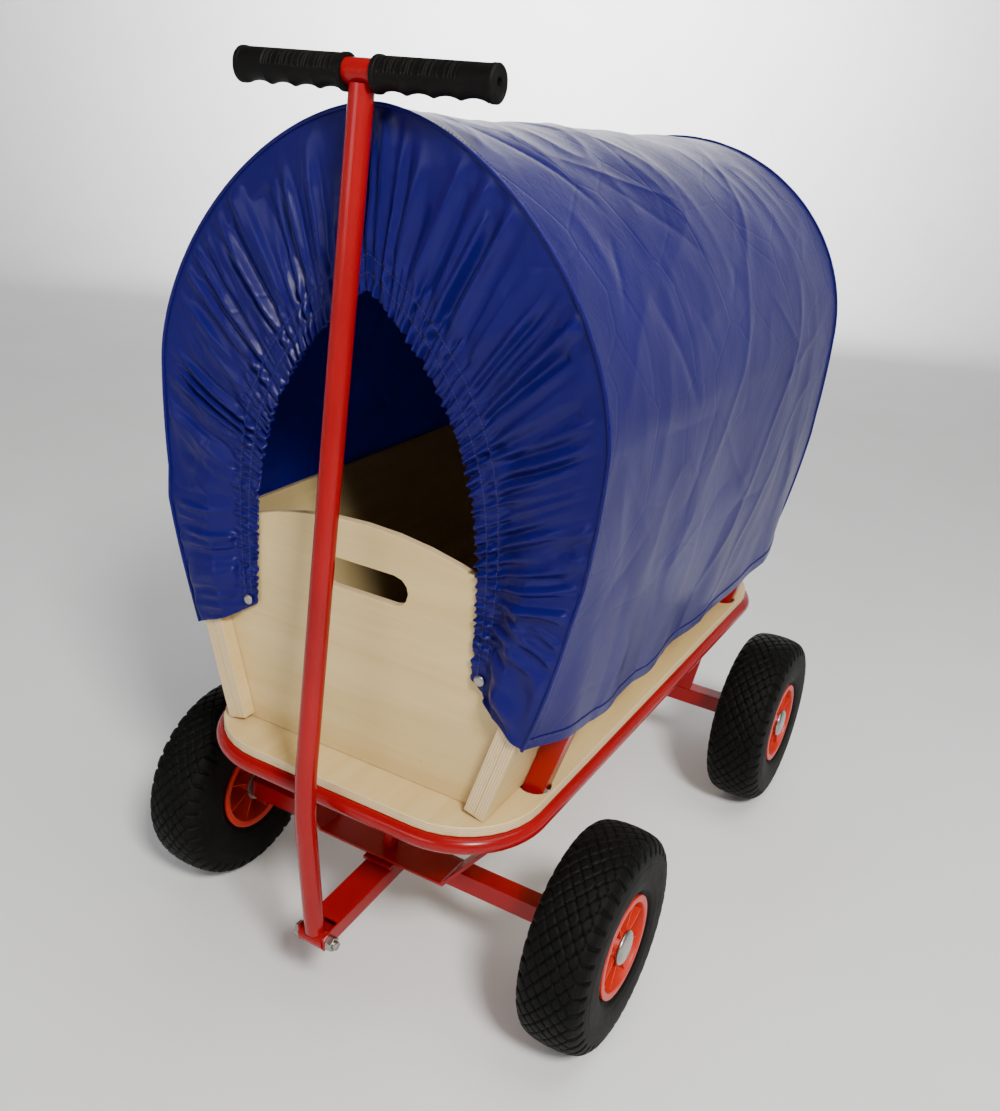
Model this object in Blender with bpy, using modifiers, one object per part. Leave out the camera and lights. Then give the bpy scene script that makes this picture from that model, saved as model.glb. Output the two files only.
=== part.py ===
"""Child's pull wagon: plywood box on a red steel frame, four air-filled wheels,
a steering tongue with a T-handle, and a fabric canopy on two bent hoops.

Metres, +Z up.  The handle end faces -Y and X runs across the wagon.
Dimensions are measured from the centre of the deck; ORIGIN_SHIFT_Y then puts
the middle of the whole wagon on the origin, with the tyres standing on z = 0.
"""
import math

import bmesh
import bpy
from mathutils import Matrix, Vector

# ---------------------------------------------------------------- dimensions
ORIGIN_SHIFT_Y = 0.0211
GAP = 0.0003                      # clearance between pieces that touch
SMOOTH_ANGLE = math.radians(40)

# Wheels, 3.00-4 pneumatic size
TYRE_RADIUS = 0.130
TYRE_HALF_WIDTH = 0.0415
BEAD_RADIUS = 0.0545
WHEEL_X = 0.269
AXLE_FRONT_Y = -0.2845
AXLE_REAR_Y = 0.309
AXLE_Z = TYRE_RADIUS
WHEEL_STEPS = 30
RIM_STEPS = 28
FLANGE_RADIUS = 0.0613
BARREL_OUTER_RADIUS = 0.0540
BARREL_INNER_RADIUS = 0.0500
WEB_HALF_THICKNESS = 0.003
HUB_RADIUS = 0.0165
HUB_BORE_RADIUS = 0.0125
RIB_COUNT = 8
RIB_THICKNESS = 0.003
ROD_RADIUS = 0.008
ROD_HALF_LENGTH = 0.307
HUB_CAP_RADIUS = 0.0206
HUB_CAP_X = 0.3045
WASHER_X = 0.2307

# Undercarriage
BEAM_SIZE = 0.025
BEAM_WALL = 0.002
BEAM_HALF_LENGTH = 0.2304
KINGPIN_Y = -0.3075
KINGPIN_RADIUS = 0.009
SHANK_RADIUS = 0.005
SHANK_BOTTOM_Z = 0.100
CARRIER_FLAT_HALF = 0.0893
CARRIER_WIDTH = 0.050
CARRIER_THICKNESS = 0.004
CARRIER_MID_Z = 0.1465
CARRIER_TOP_HALF = 0.1905
PLATE_BOTTOM_Z = 0.1383
PLATE_TOP_Z = 0.1425
TONGUE_WIDTH = 0.037
TONGUE_HEIGHT = 0.0205
TONGUE_WALL = 0.0025
TONGUE_BACK_Y = -0.2985
TONGUE_FRONT_Y = -0.4605
TONGUE_SLOPE = math.atan(0.07)
TONGUE_SLOT_BACK_Y = -0.4335
PIVOT_Y = -0.452
PIVOT_Z = 0.1145

# Frame and deck
RING_TUBE_RADIUS = 0.010
RING_WALL = 0.0015
RING_HALF_WIDTH = 0.205
RING_HALF_LENGTH = 0.4305
RING_CORNER_RADIUS = 0.0976
RING_Z = 0.2883
CROSS_BAR_Y = 0.304
CROSS_BAR_BOTTOM_Z = 0.2783
CROSS_BAR_HEIGHT = 0.0198
CROSS_BAR_DEPTH = 0.020
CROSS_BAR_HALF_LENGTH = 0.1945
DECK_HALF_WIDTH = 0.206
DECK_HALF_LENGTH = 0.4315
DECK_CORNER_RADIUS = 0.0986
DECK_THICKNESS = 0.012
DECK_TOP_Z = 0.3105
POST_HOLE_RADIUS = 0.018
POST_HOLE_X = 0.184

# Box sides: boards that lean outwards, held by stake posts
LEAN = math.radians(16.3)
BOARD_THICKNESS = 0.0125
BOARD_LENGTH = 0.795
BOARD_HEIGHT = 0.232
BOARD_FOOT_X = 0.1727             # outer bottom corner
BOARD_FOOT_Z = DECK_TOP_Z + GAP
BATTEN_THICKNESS = 0.0122
BATTEN_WIDTH = 0.017
POST_DEPTH = 0.020
POST_THICKNESS = 0.024
POST_WALL = 0.002
POST_FOOT_X = 0.1837
POST_FOOT_Z = 0.3021
POST_LENGTH = 0.1410
END_PANEL_Y = 0.375               # middle of its thickness
END_PANEL_THICKNESS = 0.010
END_PANEL_CROWN_Z = 0.592
END_PANEL_CROWN_RADIUS = 0.450
HAND_SLOT_Z = 0.5295
HAND_SLOT_LENGTH = 0.112
HAND_SLOT_HEIGHT = 0.033

# Canopy: (half width, rise above the widest line, roundness) at each hoop
FRONT_ARCH = (0.2614, 0.2692, 1.72)
REAR_ARCH = (0.2556, 0.2425, 2.00)
ARCH_WIDEST_Z = 0.719
COVER_ROWS = (                    # share of the way back, inward curve of the side, hem height
    (0.00, 0.55, 0.415), (0.08, 0.26, 0.411), (0.17, 0.24, 0.404), (0.50, 0.33, 0.382),
    (0.83, 0.18, 0.393), (0.92, 0.19, 0.398), (1.00, 0.38, 0.400))
COVER_THICKNESS = 0.002
COVER_END_LOW_Y = 0.4005          # in front of the box
COVER_END_HIP_Y = 0.3935
COVER_END_TOP_Y = 0.378
COVER_HIP_Z = 0.600
COVER_BOX_TOP_Z = 0.566
DOOR_HALF_WIDTH = 0.139
DOOR_BOTTOM_Z = 0.463
DOOR_HEIGHT = 0.366
DOOR_ROUNDNESS = 3.5
DOOR_Y = 0.3845
HOOP_RADIUS = 0.005
HOOP_INSET = 0.0108               # hoop centre line inside the cover's skin
HOOP_BEND_HEIGHTS = (0.577, 0.615, 0.655)
HOOP_SOCKET_Y = 0.3885
HOOP_SOCKET_X = 0.2267
HOOP_SOCKET_Z = 0.540
HOOP_SOCKET_DEPTH = 0.034
SNAP_X = 0.150
SNAP_Z = 0.466
SNAP_RADIUS = 0.006

# Handle
HANDLE_RADIUS = 0.0115
HANDLE_WALL = 0.0015
SLEEVE_RADIUS = 0.0105
CROSS_TUBE_Y = -0.3995
CROSS_TUBE_Z = 1.0135
CROSS_TUBE_RADIUS = 0.011
CROSS_TUBE_HALF_LENGTH = 0.131
GRIP_RADIUS = 0.0145
GRIP_START_X = 0.0155
GRIP_LENGTH = 0.1195
GRIP_END_WALL = 0.003
FINGER_COUNT = 4
FINGER_DEPTH = 0.0028

# colour, metallic, roughness
PAINT_RED = ((0.60, 0.020, 0.015), 0.0, 0.28)
PLYWOOD = ((0.72, 0.58, 0.40), 0.0, 0.60)
CANOPY_BLUE = ((0.035, 0.045, 0.30), 0.0, 0.55)
RIM_PLASTIC = ((0.80, 0.085, 0.030), 0.0, 0.38)
TYRE_RUBBER = ((0.020, 0.019, 0.018), 0.0, 0.80)
GRIP_RUBBER = ((0.025, 0.023, 0.022), 0.0, 0.60)
ZINC = ((0.55, 0.54, 0.51), 1.0, 0.35)
NYLON = ((0.10, 0.10, 0.10), 0.0, 0.50)
ROD_GREY = ((0.30, 0.30, 0.31), 0.0, 0.45)

AROUND_X = (0.0, math.pi / 2, 0.0)     # turns a shape's own Z to point along +X
AROUND_Y = (math.pi / 2, 0.0, 0.0)     # turns its own Z to point along -Y
LEFT_AND_RIGHT = ((-1, "left"), (1, "right"))
FRONT_AND_REAR = ((-1, "front"), (1, "rear"))


# ------------------------------------------------------------------- helpers
def clear_scene():
    for obj in list(bpy.data.objects):
        bpy.data.objects.remove(obj, do_unlink=True)


def make_material(name, look):
    colour, metallic, roughness = look
    material = bpy.data.materials.new(name)
    material.use_nodes = True
    shader = material.node_tree.nodes["Principled BSDF"]
    shader.inputs["Base Color"].default_value = (*colour, 1.0)
    shader.inputs["Metallic"].default_value = metallic
    shader.inputs["Roughness"].default_value = roughness
    return material


def make_empty(name, location, parent=None):
    empty = bpy.data.objects.new(name, None)
    empty.empty_display_size = 0.05
    wagon.objects.link(empty)
    empty.parent = parent
    empty.location = Vector(location) - place_of(parent)
    return empty


def place_of(empty):
    """Where an empty stands in the wagon's own dimensions."""
    place = Vector()
    while empty and empty.parent:
        place += empty.location
        empty = empty.parent
    return place


def place(obj, name, parent, location, rotation=(0.0, 0.0, 0.0), look=None):
    """Name a piece, give it its material and hang it under its parent empty."""
    obj.name = name
    obj.parent = parent
    obj.location = Vector(location) - place_of(parent)
    obj.rotation_euler = rotation
    if look is not None:
        obj.data.materials.clear()
        obj.data.materials.append(make_material(name, look))
    return obj


def object_from_bmesh(bm, name="piece"):
    mesh = bpy.data.meshes.new(name)
    bm.to_mesh(mesh)
    bm.free()
    obj = bpy.data.objects.new(name, mesh)
    wagon.objects.link(obj)
    return obj


def evaluated_copy(obj):
    """The piece with its modifiers applied, as a welded plain mesh object."""
    bpy.context.view_layer.update()
    evaluated = obj.evaluated_get(bpy.context.evaluated_depsgraph_get())
    mesh = bpy.data.meshes.new_from_object(evaluated)
    bm = bmesh.new()
    bm.from_mesh(mesh)
    bmesh.ops.remove_doubles(bm, verts=bm.verts, dist=1e-6)
    bm.to_mesh(mesh)
    bm.free()
    plain = bpy.data.objects.new(obj.name, mesh)
    wagon.objects.link(plain)
    plain.matrix_world = obj.matrix_world
    bpy.data.objects.remove(obj, do_unlink=True)
    return plain


def smooth(obj):
    obj.data.shade_smooth()
    obj.data.set_sharp_from_angle(angle=SMOOTH_ANGLE)
    return obj


def box(size, bevel=0.0):
    bm = bmesh.new()
    bmesh.ops.create_cube(bm, size=1.0)
    bmesh.ops.scale(bm, vec=size, verts=bm.verts)
    obj = object_from_bmesh(bm)
    if bevel:
        edge = obj.modifiers.new("edges", "BEVEL")
        edge.width = bevel
        edge.segments = 1
    return obj


def cylinder(radius, length, sides=24):
    bm = bmesh.new()
    bmesh.ops.create_cone(bm, cap_ends=True, segments=sides, radius1=radius, radius2=radius, depth=length)
    return smooth(object_from_bmesh(bm))


def turned(profile, steps, closed=True):
    """Turn a profile of (radius, height) points about the piece's own Z axis."""
    bm = bmesh.new()
    verts = [bm.verts.new((radius, 0.0, height)) for radius, height in profile]
    pairs = list(zip(verts, verts[1:]))
    if closed:
        pairs.append((verts[-1], verts[0]))
    for first, second in pairs:
        bm.edges.new((first, second))
    obj = object_from_bmesh(bm)
    screw = obj.modifiers.new("turn", "SCREW")
    screw.axis = "Z"
    screw.steps = steps
    screw.render_steps = steps
    screw.use_merge_vertices = True
    screw.merge_threshold = 1e-5
    screw.use_smooth_shade = False
    return smooth(evaluated_copy(obj))


def outline_solid(loops, thickness):
    """Extrude flat outlines; a loop inside another is a hole. Lies in the XY plane."""
    curve = bpy.data.curves.new("outline", "CURVE")
    curve.dimensions = "2D"
    curve.fill_mode = "BOTH"
    curve.extrude = thickness / 2
    for loop in loops:
        spline = curve.splines.new("POLY")
        spline.points.add(len(loop) - 1)
        for point, (x, y) in zip(spline.points, loop):
            point.co = (x, y, 0.0, 1.0)
        spline.use_cyclic_u = True
    obj = bpy.data.objects.new("outline", curve)
    wagon.objects.link(obj)
    return evaluated_copy(obj)


def tube(points, radius, wall=0.0, sides=10):
    """Round bar along a line of points, or an open-ended tube when it has a wall."""
    curve = bpy.data.curves.new("tube", "CURVE")
    curve.dimensions = "3D"
    curve.bevel_depth = radius
    curve.bevel_resolution = (sides - 4) // 2
    curve.use_fill_caps = wall == 0.0
    spline = curve.splines.new("POLY")
    spline.points.add(len(points) - 1)
    for point, place_xyz in zip(spline.points, points):
        point.co = (*place_xyz, 1.0)
    obj = bpy.data.objects.new("tube", curve)
    wagon.objects.link(obj)
    obj = smooth(evaluated_copy(obj))
    if wall:
        skin = obj.modifiers.new("wall", "SOLIDIFY")
        skin.thickness = wall
        skin.offset = -1.0
    return obj


def boolean(obj, tools, operation="DIFFERENCE"):
    """Cut holes in a piece or weld shapes to it, then drop the tools."""
    for tool in tools:
        step = obj.modifiers.new(operation.lower(), "BOOLEAN")
        step.operation = operation
        step.solver = "EXACT"
        step.object = tool
    obj = evaluated_copy(obj)
    for tool in tools:
        bpy.data.objects.remove(tool, do_unlink=True)
    return obj


def put(obj, location, rotation=(0.0, 0.0, 0.0)):
    """Place a tool or an unfinished piece before it is cut or joined."""
    obj.location = location
    obj.rotation_euler = rotation
    return obj


def arc(centre, radius, start, end, count):
    angles = [math.radians(start + (end - start) * i / count) for i in range(count + 1)]
    return [(centre[0] + radius * math.cos(a), centre[1] + radius * math.sin(a)) for a in angles]


def rounded_rectangle(half_x, half_y, radius, count=7):
    corners = ((1, 1, 0), (-1, 1, 90), (-1, -1, 180), (1, -1, 270))
    loop = []
    for sign_x, sign_y, start in corners:
        centre = (sign_x * (half_x - radius), sign_y * (half_y - radius))
        loop += arc(centre, radius, start, start + 90, count)
    return loop


def rectangle(width, height):
    x, y = width / 2, height / 2
    return [(-x, -y), (x, -y), (x, y), (-x, y)]


def circle(centre, radius, count=20):
    return arc(centre, radius, 0, 360, count)[:-1]


def rectangular_tube(width, height, wall, length):
    """Square or rectangular tube along the piece's own Z."""
    return outline_solid([rectangle(width, height), rectangle(width - 2 * wall, height - 2 * wall)], length)


def hexagon_nut(radius, bore, height):
    return outline_solid([circle((0.0, 0.0), radius, 6), circle((0.0, 0.0), bore, 16)], height)


# -------------------------------------------------------------------- wheels
def tyre_mesh():
    """Open carcass: tread and sidewalls outside, beads that seat on the rim."""
    outer = [(BEAD_RADIUS, 0.0315), (0.0620, 0.0325), (0.0700, 0.0395), (0.0930, TYRE_HALF_WIDTH),
             (0.1160, 0.0385), (0.1265, 0.0280), (TYRE_RADIUS, 0.0120)]
    inner = [(0.1220, 0.0140), (0.1130, 0.0320), (0.0900, 0.0365), (0.0680, 0.0330), (BEAD_RADIUS, 0.0250)]
    profile = outer + [(r, -z) for r, z in reversed(outer)]
    profile += [(r, -z) for r, z in reversed(inner)] + inner
    return turned(profile, WHEEL_STEPS)


def rim_mesh():
    """One-piece rim: flanges, bead seat, thin web, hub and ribs."""
    flange_out, flange_in, hub_end = 0.0375, 0.0335, 0.0345
    profile = [(FLANGE_RADIUS, flange_out), (FLANGE_RADIUS, flange_in), (BARREL_OUTER_RADIUS, flange_in),
               (BARREL_OUTER_RADIUS, -flange_in), (FLANGE_RADIUS, -flange_in), (FLANGE_RADIUS, -flange_out),
               (BARREL_INNER_RADIUS, -flange_out), (BARREL_INNER_RADIUS, -WEB_HALF_THICKNESS),
               (HUB_RADIUS, -WEB_HALF_THICKNESS), (HUB_RADIUS, -hub_end), (HUB_BORE_RADIUS, -hub_end),
               (HUB_BORE_RADIUS, hub_end), (HUB_RADIUS, hub_end), (HUB_RADIUS, WEB_HALF_THICKNESS),
               (BARREL_INNER_RADIUS, WEB_HALF_THICKNESS), (BARREL_INNER_RADIUS, flange_out)]
    rim = turned(profile, RIM_STEPS)
    inner_end = (HUB_BORE_RADIUS + HUB_RADIUS) / 2
    outer_end = (BARREL_INNER_RADIUS + BARREL_OUTER_RADIUS) / 2
    ribs = bmesh.new()
    for i in range(RIB_COUNT):
        turn = Matrix.Rotation(2 * math.pi * (i + 0.5) / RIB_COUNT, 4, "Z")
        move = Matrix.Translation(((inner_end + outer_end) / 2, 0.0, 0.0))
        size = Matrix.Diagonal((outer_end - inner_end, RIB_THICKNESS, 0.056, 1.0))
        bmesh.ops.create_cube(ribs, size=1.0, matrix=turn @ move @ size)
    rim = boolean(rim, [object_from_bmesh(ribs)], "UNION")
    return smooth(rim)


def hub_cap_mesh():
    """Pressed cap with a blind recess for the rod's end."""
    recess = ROD_RADIUS + GAP
    profile = [(0.0, 0.0055), (0.0125, 0.0051), (0.0188, 0.0035), (HUB_CAP_RADIUS, 0.0010),
               (HUB_CAP_RADIUS, 0.0), (recess, 0.0), (recess, 0.0030), (0.0, 0.0030)]
    return turned(profile, 20, closed=False)


def wheel(corner, side, axle_y, carrier):
    """Tyre, rim and bush turn together; the washer and cap stay on the rod."""
    centre = Vector((side * WHEEL_X, axle_y, AXLE_Z))
    spinner = make_empty("wheel_" + corner + "_spin", centre, carrier)
    outwards = (0.0, side * math.pi / 2, 0.0)
    place(tyre_mesh(), "tyre_" + corner, spinner, centre, outwards, TYRE_RUBBER)
    place(rim_mesh(), "rim_" + corner, spinner, centre, outwards, RIM_PLASTIC)
    inner, outer = ROD_RADIUS + GAP, HUB_BORE_RADIUS - GAP
    half = 0.0354
    bush = turned([(outer, half), (outer, -half), (inner, -half), (inner, half)], 16)
    place(bush, "bush_" + corner, spinner, centre, outwards, NYLON)
    thickness = 0.002
    washer = turned([(0.021, thickness), (0.021, 0.0), (inner, 0.0), (inner, thickness)], 18)
    place(washer, "washer_" + corner, carrier, (side * WASHER_X, axle_y, AXLE_Z), outwards, ZINC)
    place(hub_cap_mesh(), "hub_cap_" + corner, carrier, (side * HUB_CAP_X, axle_y, AXLE_Z), outwards, ZINC)


def axle(end, axle_y, carrier):
    centre = (0.0, axle_y, AXLE_Z)
    beam = rectangular_tube(BEAM_SIZE, BEAM_SIZE, BEAM_WALL, 2 * BEAM_HALF_LENGTH)
    place(beam, end + "_axle_beam", carrier, centre, AROUND_X, PAINT_RED)
    rod = cylinder(ROD_RADIUS, 2 * ROD_HALF_LENGTH, 16)
    place(rod, end + "_axle_rod", carrier, centre, AROUND_X, ZINC)
    for side, word in LEFT_AND_RIGHT:
        wheel(end + "_" + word, side, axle_y, carrier)


# ------------------------------------------------------------- undercarriage
def front_carrier(parent):
    """Bent flat bar welded under the front cross bar, with a hole for the kingpin."""
    half = CARRIER_THICKNESS / 2
    top_z = CROSS_BAR_BOTTOM_Z - GAP
    rise = top_z - CARRIER_MID_Z
    reach = CARRIER_TOP_HALF - CARRIER_FLAT_HALF
    leg_angle = math.atan2(rise, reach)
    miter = half * math.tan(leg_angle / 2)
    slant = half / math.sin(leg_angle)
    right = [(CARRIER_FLAT_HALF + miter, CARRIER_MID_Z - half), (CARRIER_TOP_HALF + slant, top_z),
             (CARRIER_TOP_HALF - slant, top_z), (CARRIER_FLAT_HALF - miter, CARRIER_MID_Z + half)]
    left = [(-x, z) for x, z in reversed(right)]
    bar = put(outline_solid([right + left], CARRIER_WIDTH), (0.0, KINGPIN_Y, 0.0), AROUND_Y)
    hole = put(cylinder(SHANK_RADIUS + GAP, 0.02, 16), (0.0, KINGPIN_Y, CARRIER_MID_Z))
    bar = boolean(bar, [hole])
    recentre(bar, (0.0, KINGPIN_Y, CARRIER_MID_Z))
    place(bar, "front_carrier", parent, (0.0, KINGPIN_Y, CARRIER_MID_Z), look=PAINT_RED)


def recentre(obj, centre):
    """Bake where a piece stands into its mesh, measured from a new origin."""
    obj.data.transform(Matrix.Translation(-Vector(centre)) @ obj.matrix_world)
    obj.matrix_world = Matrix.Identity(4)


def kingpin(parent):
    """Round post from carrier to cross bar, with a thinner shank down through the tongue."""
    post_bottom = CARRIER_MID_Z + CARRIER_THICKNESS / 2 + GAP
    post_top = CROSS_BAR_BOTTOM_Z - GAP
    profile = [(0.0, post_top), (KINGPIN_RADIUS, post_top), (KINGPIN_RADIUS, post_bottom),
               (SHANK_RADIUS, post_bottom), (SHANK_RADIUS, SHANK_BOTTOM_Z), (0.0, SHANK_BOTTOM_Z)]
    place(turned(profile, 20, closed=False), "kingpin", parent, (0.0, KINGPIN_Y, 0.0), look=PAINT_RED)
    nut = hexagon_nut(0.0098, SHANK_RADIUS + GAP, 0.008)
    place(nut, "kingpin_nut", parent, (0.0, KINGPIN_Y, 0.1113), look=ZINC)


def rear_bracket(parent):
    """Plate with one large window between the rear beam and the rear cross bar."""
    bottom, top = AXLE_Z + BEAM_SIZE / 2 + GAP, CROSS_BAR_BOTTOM_Z - GAP
    outer = [(-0.158, bottom), (0.158, bottom), (0.170, 0.211), (0.1845, top), (-0.1845, top), (-0.170, 0.211)]
    window = [(-0.132, 0.165), (0.132, 0.165), (0.144, 0.211), (0.153, 0.252), (-0.153, 0.252), (-0.144, 0.211)]
    thickness = 0.005
    plate = outline_solid([outer, window], thickness)
    y = AXLE_REAR_Y - BEAM_SIZE / 2 + thickness / 2
    place(plate, "rear_bracket", parent, (0.0, y, 0.0), AROUND_Y, PAINT_RED)


def tongue(parent):
    """Sloping rectangular tube with a forked front end for the handle."""
    length = (TONGUE_BACK_Y - TONGUE_FRONT_Y) / math.cos(TONGUE_SLOPE)
    mid_y = (TONGUE_BACK_Y + TONGUE_FRONT_Y) / 2
    mid_z = 0.1357 + math.tan(TONGUE_SLOPE) * (mid_y + 0.3285) - TONGUE_HEIGHT / 2
    centre = (0.0, mid_y, mid_z)
    bar = rectangular_tube(TONGUE_WIDTH, TONGUE_HEIGHT, TONGUE_WALL, length)
    bar = put(bar, centre, (math.pi / 2 + TONGUE_SLOPE, 0.0, 0.0))
    slot_length = 0.04
    slot = put(box((TONGUE_WIDTH - 2 * TONGUE_WALL, slot_length, 0.06)),
               (0.0, TONGUE_SLOT_BACK_Y - slot_length / 2, PIVOT_Z))
    pin_hole = put(cylinder(SHANK_RADIUS + GAP, 0.06, 16), (0.0, KINGPIN_Y, mid_z))
    bolt_hole = put(cylinder(SHANK_RADIUS + GAP, 0.06, 16), (0.0, PIVOT_Y, PIVOT_Z), AROUND_X)
    bar = boolean(bar, [slot, pin_hole, bolt_hole])
    recentre(bar, centre)
    place(bar, "tongue_tube", parent, centre, look=PAINT_RED)


def steering_head(parent):
    """Plate and thrust washer that carry the front axle on the kingpin."""
    hole = circle((0.0, 0.0), SHANK_RADIUS + GAP, 16)
    front, back, half_width = -0.0295, 0.0100, 0.020
    outline = [(-half_width, front), (half_width, front), (half_width, back), (-half_width, back)]
    plate = outline_solid([outline, hole], PLATE_TOP_Z - PLATE_BOTTOM_Z)
    centre_z = (PLATE_TOP_Z + PLATE_BOTTOM_Z) / 2
    place(plate, "pivot_plate", parent, (0.0, KINGPIN_Y, centre_z), look=PAINT_RED)
    washer = outline_solid([circle((0.0, 0.0), 0.022, 24), hole], 0.0014)
    place(washer, "thrust_washer", parent, (0.0, KINGPIN_Y, 0.1435), look=ZINC)


def pivot_bolt(parent):
    """Hexagon bolt through the fork, head on the left and nut on the right."""
    side = TONGUE_WIDTH / 2 + GAP
    head_height, tail = 0.006, 0.031
    shank = put(cylinder(SHANK_RADIUS, tail + side, 16), ((tail - side) / 2, 0.0, 0.0), AROUND_X)
    head = put(cylinder(0.0087, head_height, 6), (-side - head_height / 2, 0.0, 0.0), AROUND_X)
    bolt = boolean(head, [shank], "UNION")
    recentre(bolt, (0.0, 0.0, 0.0))
    place(bolt, "pivot_bolt", parent, (0.0, PIVOT_Y, PIVOT_Z), look=ZINC)
    nut_height = 0.008
    nut = hexagon_nut(0.0087, SHANK_RADIUS + GAP, nut_height)
    place(nut, "pivot_nut", parent, (side + nut_height / 2, PIVOT_Y, PIVOT_Z), AROUND_X, ZINC)


# ------------------------------------------------------------ frame and deck
def frame_ring(parent):
    """Tube bent into a rounded rectangle; its ends meet at the back."""
    loop = rounded_rectangle(RING_HALF_WIDTH, RING_HALF_LENGTH, RING_CORNER_RADIUS)
    corner_points = len(loop) // 4
    loop = loop[corner_points:] + loop[:corner_points]
    half_seam = 0.0004
    loop = [(-half_seam, RING_HALF_LENGTH)] + loop + [(half_seam, RING_HALF_LENGTH)]
    ring = tube([(x, y, 0.0) for x, y in loop], RING_TUBE_RADIUS, RING_WALL, sides=8)
    place(ring, "frame_ring", parent, (0.0, 0.0, RING_Z), look=PAINT_RED)


def cross_bars(parent):
    z = CROSS_BAR_BOTTOM_Z + CROSS_BAR_HEIGHT / 2
    for sign, end in FRONT_AND_REAR:
        bar = rectangular_tube(CROSS_BAR_HEIGHT, CROSS_BAR_DEPTH, 0.002, 2 * CROSS_BAR_HALF_LENGTH)
        place(bar, "cross_bar_" + end, parent, (0.0, sign * CROSS_BAR_Y, z), AROUND_X, PAINT_RED)


def deck(parent):
    """Plywood floor with a round hole for each stake post."""
    holes = [circle((sx * POST_HOLE_X, sy * CROSS_BAR_Y), POST_HOLE_RADIUS) for sx in (-1, 1) for sy in (-1, 1)]
    outline = rounded_rectangle(DECK_HALF_WIDTH, DECK_HALF_LENGTH, DECK_CORNER_RADIUS, 9)
    board = outline_solid([outline] + holes, DECK_THICKNESS)
    place(board, "deck_board", parent, (0.0, 0.0, DECK_TOP_Z - DECK_THICKNESS / 2), look=PLYWOOD)


def on_slope(side, out, up):
    """A point on a leaning side, from its board's outer bottom corner."""
    x = BOARD_FOOT_X + up * math.sin(LEAN) + out * math.cos(LEAN)
    z = BOARD_FOOT_Z + up * math.cos(LEAN) - out * math.sin(LEAN)
    return Vector((side * x, 0.0, z))


def hoop_socket(side, end_sign):
    """Drill for a hoop's foot, along the slope where board and batten meet."""
    drill = cylinder(HOOP_RADIUS + GAP, 2 * HOOP_SOCKET_DEPTH, 14)
    centre = (side * HOOP_SOCKET_X, end_sign * HOOP_SOCKET_Y, HOOP_SOCKET_Z)
    return put(drill, centre, (0.0, side * LEAN, 0.0))


def box_side(side, word, parent):
    """Leaning board with a batten inside at each end and two stake posts outside."""
    lean = (0.0, side * LEAN, 0.0)
    centre = on_slope(side, -BOARD_THICKNESS / 2, BOARD_HEIGHT / 2)
    board = put(box((BOARD_THICKNESS, BOARD_LENGTH, BOARD_HEIGHT)), centre, lean)
    board = boolean(board, [hoop_socket(side, sign) for sign, _ in FRONT_AND_REAR])
    place(board, "side_panel_" + word, parent, centre, lean, PLYWOOD)
    for sign, end in FRONT_AND_REAR:
        centre = on_slope(side, -BOARD_THICKNESS - GAP - BATTEN_THICKNESS / 2, BOARD_HEIGHT / 2)
        centre.y = sign * (BOARD_LENGTH - BATTEN_WIDTH) / 2
        batten = put(box((BATTEN_THICKNESS, BATTEN_WIDTH, BOARD_HEIGHT)), centre, lean)
        batten = boolean(batten, [hoop_socket(side, sign)])
        place(batten, "end_batten_" + end + "_" + word, parent, centre, lean, PLYWOOD)
        rise = POST_LENGTH / 2
        foot = Vector((side * POST_FOOT_X, sign * CROSS_BAR_Y, POST_FOOT_Z))
        centre = foot + rise * Vector((side * math.sin(LEAN), 0.0, math.cos(LEAN)))
        post = rectangular_tube(POST_THICKNESS, POST_DEPTH, POST_WALL, POST_LENGTH)
        place(post, "stake_post_" + end + "_" + word, parent, centre, lean, PAINT_RED)


def end_panels(parent):
    """Front and rear boards with a crowned top and a hand slot."""
    foot_z = BOARD_FOOT_Z
    inner_x = BOARD_FOOT_X - BOARD_THICKNESS / math.cos(LEAN) - 0.0006
    crown_centre = (0.0, END_PANEL_CROWN_Z - END_PANEL_CROWN_RADIUS)
    shoulder = 90 - math.degrees(math.asin(0.2235 / END_PANEL_CROWN_RADIUS))
    crown = arc(crown_centre, END_PANEL_CROWN_RADIUS, shoulder, 180 - shoulder, 12)
    outline = [(-inner_x, foot_z), (inner_x, foot_z)] + crown
    end = HAND_SLOT_HEIGHT / 2
    reach = HAND_SLOT_LENGTH / 2 - end
    slot = arc((reach, HAND_SLOT_Z), end, -90, 90, 6) + arc((-reach, HAND_SLOT_Z), end, 90, 270, 6)
    for sign, word in FRONT_AND_REAR:
        panel = outline_solid([outline, slot], END_PANEL_THICKNESS)
        place(panel, word + "_panel", parent, (0.0, sign * END_PANEL_Y, 0.0), AROUND_Y, PLYWOOD)


# -------------------------------------------------------------------- canopy
def arch_shape(along):
    """Half width, rise and roundness at a fraction of the way from front to rear."""
    return [front + (rear - front) * along for front, rear in zip(FRONT_ARCH, REAR_ARCH)]


def half_arch(along, tuck, low_heights, inset=0.0, top_steps=8):
    """Right half of the arch as (x, z) points: its low points, then up to the ridge."""
    half_width, rise, roundness = arch_shape(along)
    half_width, rise = half_width - inset, rise - inset
    points = []
    for z in low_heights:
        points.append((half_width - tuck * (ARCH_WIDEST_Z - z) ** 2, z))
    for i in range(top_steps + 1):
        angle = math.pi / 2 * i / top_steps
        x = half_width * max(math.cos(angle), 0.0) ** (2 / roundness)
        z = ARCH_WIDEST_Z + rise * math.sin(angle) ** (2 / roundness)
        points.append((x if i < top_steps else 0.0, z))
    return points


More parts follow.
